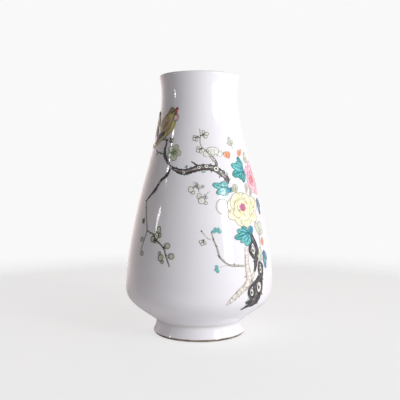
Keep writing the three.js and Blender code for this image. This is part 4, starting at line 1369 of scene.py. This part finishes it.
# Peonies: rounds of scalloped petals about a heart, each petal paler towards its edge.
peonies = {
    "yellow_peony_enamel": dict(
        at=(43.6, 118.2), reach=(21.4, 15.0), heart=(-2.6, 1.8), slot="yellow_enamel", ink="ochre",
        petal=[(0, "#e9dc7e"), (0.4, "#f2eca6"), (0.75, "#f7f3c4"), (1, "#fbf9e6")],
        blot=("#fcfaee", 0.6, 7),
        eye=[(0, "#b8327e"), (0.6, "#cb62a4"), (1, "#dba0c8")], eyeInk="magenta", dots="straw",
        calyx=[((36.0, 133.0), 84, 7.4, 5.6), ((33.4, 133.6), 120, 4.6, 3.4), ((50.6, 132.6), 76, 8.4, 4.2),
               ((55.4, 129.0), 58, 9.0, 4.0)],
    ),
    "pink_peony_enamel": dict(
        at=(73.6, 145), reach=(19, 14.0), heart=(-6.0, -0.8), slot="pink_enamel", ink="rose",
        petal=[(0, "#ee6f90"), (0.35, "#f48fab"), (0.7, "#f8b6ca"), (1, "#fcdce6")],
        blot=("#fdeaf0", 0.6, 8),
        eye=[(0, "#e0564e"), (0.6, "#ee7d72"), (1, "#f4a29c")], eyeInk="rose", dots="straw",
        calyx=[],
    ),
}
# Each round's count of petals, share of the reach, overlap, scallops and least reach.
rounds = [(9, 1.0, 1.35, 3, 0.86), (6, 0.72, 1.25, 2, 0.7), (5, 0.5, 1.1, 2, 0.6)]


def paintPeonyPetal(paint, peony, at, length, width, scallops, layer, folded):
    outline = scallopedPetal(length, width, scallops)
    addWash(paint, at(outline), peony["petal"], at((0, length * 0.2)), layer, peony["blot"])
    addLine(paint, peony["ink"], at(outline[1:-1]), 0.36, layer, (0.2, 0.2))
    if folded:
        fold = [(width * 0.3, length * 0.5), (width * 0.42, length * 0.72), (width * 0.2, length * 0.86)]
        addLine(paint, "umber", at(fold), 0.3, layer, (0.2, 0.6))
    for side in (-0.6, -0.2, 0.2, 0.6):
        vein = [(side * width * 0.14, length * 0.3), (side * width * 0.36, length * 0.66),
                (side * width * 0.42, length * 0.86)]
        addLine(paint, peony["ink"], at(vein), 0.22, layer, (0.8, 0.15))


# The rolled petals and the dots in a peony's heart.
def paintPeonyEye(paint, peony, eye):
    for k in range(6):
        layer = 9 + k % 2
        scale = within(eye, 0, 0, 60 * k + 12)
        addOutlined(paint, scale(petal(3.6, 2.8, 12)), peony["eye"], peony["eyeInk"], 0.3, layer,
                    scale((0, 1.0)))
    ring = np.linspace(0, math.tau, 9, endpoint=False)
    addDots(paint, peony["dots"], eye(np.stack([np.cos(ring), np.sin(ring)], -1) * 1.3), 0.55, 10)


def paintPeony(node, peony):
    paint = newPaint(node, 2)
    put = placeAt(*peony["at"])
    heart = np.array(peony["heart"])
    reach = np.array(peony["reach"])
    rng = np.random.default_rng(paint["seed"])
    for at, direction, length, width in peony["calyx"]:
        blade = within(placeAt(*at), 0, 0, turnedBy(direction))
        paintBlade(paint, blade, length, width, "calyx", 0.3, 0)
        addLine(paint, "umber", blade([(0, 0), (0, length * 0.8)]), 0.3, 0, (1, 0.3))
    for level, (count, share, overlap, scallops, least) in enumerate(rounds):
        for k in range(count):
            direction = math.tau * (k + 0.5 * (level % 2) + rng.uniform(-0.25, 0.25)) / count
            rim = reach * share * rng.uniform(least, 1.02)
            tip = np.array([math.cos(direction), math.sin(direction)]) * rim + heart * (1 - share)
            way = tip - heart
            length = np.linalg.norm(way)
            chord = np.hypot(rim[0] * math.sin(direction), rim[1] * math.cos(direction))
            width = overlap * (math.tau / count) * chord * rng.uniform(0.7, 1.0)
            turn = math.degrees(math.atan2(way[1], way[0])) - 90 + rng.uniform(-16, 16)
            layer = level * 3 + (2 if k == count - 1 else k % 2)
            at = within(put, *heart, turn)
            paintPeonyPetal(paint, peony, at, length, width, scallops, layer, k % 2)
    paintPeonyEye(paint, peony, within(put, *heart))
    firePaint(paint, "peony")


for node, peony in peonies.items():
    paintPeony(node, peony)
print("peonies painted")


# The bird, drawn as angle and height about its own middle: its companion is the same bird, turned about.
bird = dict(
    middle=(-47, 195.5), slot="olive_enamel",
    breast=[(0, "#d0c685"), (0.6, "#c2bb70"), (1, "#aba45e")],
    back=[(0, "#c6b874"), (0.7, "#b6aa64"), (1, "#968a4e")], backBlot=("#d9cf7c", 0.6, 9),
    wing=[(0, "#c6b488"), (0.6, "#baa678"), (1, "#a89660")], wingBlot=("#bd9da0", 0.4, 6),
    cap=[(0, "#b3a070"), (0.6, "#a18c5c"), (1, "#6d5a34")],
    cheek=[(0, "#e0c4c0"), (0.7, "#cfb2ae"), (1, "#a98a8a")],
    eye=[(0, "#1b1614"), (0.7, "#3a2a14"), (1, "#5d4a24")],
    beak=[(0, "#a8281a"), (1, "#841f14")], flight=[(0, "#4a3a4a"), (1, "#2c2230")],
    tail=[(0, "#ece4bc"), (1, "#c9bf8c")],
)
birdOutlines = dict(
    flight=[(-70.6, 176.2), (-67.4, 180.8), (-62.4, 185.0), (-56, 186.6), (-48.6, 187.0), (-50.4, 183.6),
            (-56, 180.4), (-62, 177.8)],
    tail=[(-46, 185.4), (-51, 183.2), (-57, 180.2), (-63, 177.2), (-71, 174.4), (-70.6, 173.0),
          (-62, 174.8), (-53, 178.8), (-46, 182.2)],
    back=[(-38, 207.6), (-34.4, 205.0), (-33.4, 200), (-32.4, 195), (-34.8, 189.6), (-40.0, 185.0),
          (-46, 182.4), (-54, 182.8), (-60.4, 186.6), (-63.4, 191.4), (-60.4, 196.6), (-54.4, 200.4),
          (-47.4, 203.8), (-43, 207)],
    breast=[(-36, 203), (-34.4, 197), (-34.8, 191), (-38.6, 186), (-44, 183), (-41.6, 188), (-39.4, 194),
            (-39, 200)],
    wing=[(-41.4, 198.6), (-45, 200.6), (-51, 199.4), (-56, 195), (-58.4, 190.4), (-56, 187.2),
          (-50, 186.6), (-45, 187.8), (-41.6, 192)],
    cap=[(-35.4, 204.0), (-36.8, 206.6), (-40.4, 208.4), (-44.6, 207.0), (-47.4, 203.6), (-44.6, 203.8),
         (-41, 202.6), (-37.6, 202.4)],
    beak=[(-35.4, 202.6), (-35.6, 205.4), (-34.4, 207.4), (-31.8, 208.4), (-30.4, 207.2),
          (-30.8, 204.8), (-32.4, 202.6)],
)


def paintBird(node, at, turn, size, mirror):
    paint = newPaint(node, 3)
    angle, height = bird["middle"]
    perDegree = 1 / float(degreesPerMillimetre(height))
    carry = placeAt(*at, turn, size, mirror)

    def put(points):
        points = np.asarray(points, float)
        return carry(np.stack([(points[:, 0] - angle) * perDegree, points[:, 1] - height], -1))

    def line(ink, points, width, layer, ends=(0.6, 0.3)):
        addLine(paint, ink, put(points), width * size, layer, ends)

    def fill(part, layer, step=1.4, heart=None):
        outline = birdOutlines[part]
        rounded = smoothed(outline + outline[:1], step)[:-1]
        middle = None if heart is None else put([heart])
        addWash(paint, put(rounded), bird[part], middle, layer, bird.get(part + "Blot"))

    fill("flight", 4)
    fill("tail", 5)
    for share in (0.25, 0.5, 0.75):
        line("umber", [(-49, 184.0 - 3.4 * share), (-58, 179.6 - 3.4 * share), (-69, 174.8 - 1.2 * share)],
             0.3, 5)
        line("black", [(-51, 186.6 - 2.4 * share), (-58, 185.4 - 4.4 * share), (-67, 180.4 - 3.4 * share)],
             0.3, 4)
    fill("back", 2, heart=(-44, 196))
    fill("breast", 3)
    fill("wing", 3, heart=(-47, 194))
    line("umber", [(-37, 199), (-39, 193.6), (-42, 189.4), (-47, 186.2)], 0.7, 4)
    body = birdOutlines["back"]
    line("umber", body[9:14] + body[:1], 0.6, 3)
    line("olive", body[2:9], 0.5, 3)
    for share in (0.2, 0.4, 0.6, 0.8):
        line("umber", [(-43 - 3 * share, 197.6 - 4 * share), (-49 - 2 * share, 196 - 6 * share),
                       (-56.6 + 2 * share, 192.4 - 5 * share)], 0.38, 4)
    for k in range(7):
        tick = (-37.6 - 0.5 * (k % 2), 201 - 2.4 * k)
        line("olive", [tick, (tick[0] + 1.2, tick[1] - 1.2)], 0.3, 4)
    cheek = put(oval(8.6, 6.4, 14, (-32.8, 199.0)))
    addOutlined(paint, cheek, bird["cheek"], "plum", 0.5 * size, 4)
    fill("cap", 4, 1.2)
    line("umber", [(-36.2, 206.2), (-40.4, 208.2), (-44.4, 206.8), (-47.4, 203.6), (-50.4, 200.8)], 0.9, 5)
    line("umber", [(-36.4, 205.2), (-39.4, 204.6), (-42.6, 202.4)], 1.8, 5, (0.5, 0.4))
    addWash(paint, put(oval(2.6, 1.6, 10, (-39.4, 204.9))), bird["eye"], None, 6)
    fill("beak", 5, 1.0)
    line("plum", [(-34.6, 206.2), (-32.8, 207.2), (-30.8, 207.0)], 0.9, 6)
    line("coral", [(-31.6, 206.2), (-31.2, 204.4), (-32.4, 202.8)], 0.7, 6)
    line("umber", [(-35.6, 202.2), (-33.4, 201.4), (-32.2, 201.8)], 0.9, 6)
    for across, up in ((-46.4, 183.4), (-49.4, 183)):
        line("black", [(across, up), (across + 1.2, up - 2), (across + 2.6, up - 3.6)], 0.6, 4)
        line("black", [(across + 1.2, up - 2), (across - 0.6, up - 3.4)], 0.5, 4)
    firePaint(paint, "plumage")


paintBird("bird_enamel", bird["middle"], 0, 1, 1)
paintBird("companion_bird_enamel", (-76.6, 197.6), -16, 0.6, -1)
print("birds painted")


# Plain sweep; soft light from the right, behind and above; a tall softbox draws the long highlight.
# A glow is its way, strength, edge, full and tint: it starts at a cosine of edge and is whole at full.
studio = dict(
    distance=0.602, eye=0.1558, aside=0.0007, pitch=3.0, lens=57.6,
    floor="#fdfdfd", floorReach=3, floorFade=(0.05, 0.6), background="#f9f9f9", lift=0.68,
    stripAt=(0.80, -0.75, 0.42), stripAim=(0, 0, 0.42), stripSize=(0.24, 0.45), stripWatts=6.0,
    glows=[
        ((0.86, -0.51, 0), 1.374, 0.22, 1, "#fbfafc"), ((0, 1, 0), 1.18, 0.40, 0.85, "#ffeeea"),
        ((-0.88, 0.47, 0), 0.39, 0.5, 1, "#fff2f0"), ((0, 0, 1), 0.07, 0, 1, "#fff3f0"),
    ],
    glints=[(-34.2, 181.6, 0.02, 0.10), (-34.8, 175.4, 0.022, 0.05), (-36.0, 115.8, 0.03, 0.05),
            (-37.2, 109.8, 0.026, 0.07)],
    glintReach=0.9, glintWatts=0.12,
)


def addLamp(name, at, aim, size, watts):
    lamp = bpy.data.lights.new(name, "AREA")
    lamp.shape = "RECTANGLE"
    lamp.size, lamp.size_y = size
    lamp.energy = watts
    hung = bpy.data.objects.new(name, lamp)
    bpy.context.collection.objects.link(hung)
    hung.location = at
    hung.rotation_euler = (Vector(aim) - hung.location).to_track_quat("-Z", "Y").to_euler()


def makeCamera():
    camera = bpy.data.objects.new("camera", bpy.data.cameras.new("camera"))
    bpy.context.collection.objects.link(camera)
    camera.location = (studio["aside"], -studio["distance"], studio["eye"])
    camera.rotation_euler = (math.radians(90 - studio["pitch"]), 0, 0)
    camera.data.lens = studio["lens"]
    camera.data.sensor_width = 36
    bpy.context.scene.camera = camera
    bpy.context.scene.view_settings.view_transform = "Standard"
    return camera


# Paper sweep, matt: it fades into the background away from the vase, and thins to the camera.
def makeFloor():
    mesh = bpy.data.meshes.new("floor")
    reach = studio["floorReach"]
    corners = [(-reach, -reach, 0), (reach, -reach, 0), (reach, reach, 0), (-reach, reach, 0)]
    mesh.from_pydata(corners, [], [(0, 1, 2, 3)])
    floor = addPiece("floor", mesh)
    paper, tree, shader, place = newFinish("matt paper sweep")
    shader.inputs["Base Color"].default_value = linear(studio["floor"])
    shader.inputs["Roughness"].default_value = 0.9
    away = addNode(tree, "ShaderNodeVectorMath", {"operation": "LENGTH"}, {0: place})
    near, far = studio["floorFade"]
    fade = addNode(tree, "ShaderNodeMapRange", {"interpolation_type": "SMOOTHSTEP"}, {
        "Value": away.outputs["Value"], "From Min": near, "From Max": far,
    })
    path = addNode(tree, "ShaderNodeLightPath")
    lift = addNode(tree, "ShaderNodeMath", {"operation": "MULTIPLY"}, {
        0: path.outputs["Is Camera Ray"], 1: studio["lift"],
    })
    thin = addNode(tree, "ShaderNodeMath", {"operation": "MAXIMUM"}, {0: fade.outputs[0], 1: lift.outputs[0]})
    clear = addNode(tree, "ShaderNodeBsdfTransparent")
    mixed = addNode(tree, "ShaderNodeMixShader", None, {
        0: thin.outputs[0], 1: shader.outputs[0], 2: clear.outputs[0],
    })
    tree.links.new(mixed.outputs[0], tree.nodes["Material Output"].inputs["Surface"])
    mesh.materials.append(paper)


# The softbox, and the small far lamps whose sparkles show on the wall where the list says.
def hangLamps(eye):
    addLamp("strip", studio["stripAt"], studio["stripAim"], studio["stripSize"], studio["stripWatts"])
    for k, (angle, height, wide, tall) in enumerate(studio["glints"]):
        place, out = (Vector(found) for found in onWall(angle, height))
        way = (place - eye).normalized().reflect(out)
        lampAt = place + way * studio["glintReach"]
        addLamp(f"glint_{k + 1}", lampAt, place, (wide, tall), studio["glintWatts"])


def makeStudio():
    camera = makeCamera()
    makeFloor()
    hangLamps(Vector(camera.location))
    makeRoom()


# The room's soft light: a wide glow from each way that the studio lists.
def makeRoom():
    world = bpy.data.worlds.new("studio")
    bpy.context.scene.world = world
    world.use_nodes = True
    tree = world.node_tree
    tree.nodes.clear()
    ray = addNode(tree, "ShaderNodeTexCoord").outputs["Generated"]
    total = None
    for way, strength, edge, full, tint in studio["glows"]:
        facing = addNode(tree, "ShaderNodeVectorMath", {"operation": "DOT_PRODUCT"}, {0: ray, 1: way})
        lobe = addNode(tree, "ShaderNodeMapRange", None, {
            "Value": facing.outputs["Value"], "From Min": edge, "From Max": full,
        })
        glow = addNode(tree, "ShaderNodeVectorMath", {"operation": "SCALE"}, {
            0: [channel * strength for channel in linear(tint)[:3]], "Scale": lobe.outputs[0],
        })
        if total is not None:
            glow = addNode(tree, "ShaderNodeVectorMath", {"operation": "ADD"}, {0: total, 1: glow.outputs[0]})
        total = glow.outputs[0]
    room = addNode(tree, "ShaderNodeBackground", None, {"Color": total, "Strength": 1.0})
    backdrop = linear(studio["background"])
    seen = addNode(tree, "ShaderNodeBackground", None, {"Color": backdrop, "Strength": 1.0})
    path = addNode(tree, "ShaderNodeLightPath")
    both = addNode(tree, "ShaderNodeMixShader", None, {
        0: path.outputs["Is Camera Ray"], 1: room.outputs[0], 2: seen.outputs[0],
    })
    addNode(tree, "ShaderNodeOutputWorld", None, {0: both.outputs[0]})


makeStudio()
print("studio ready")
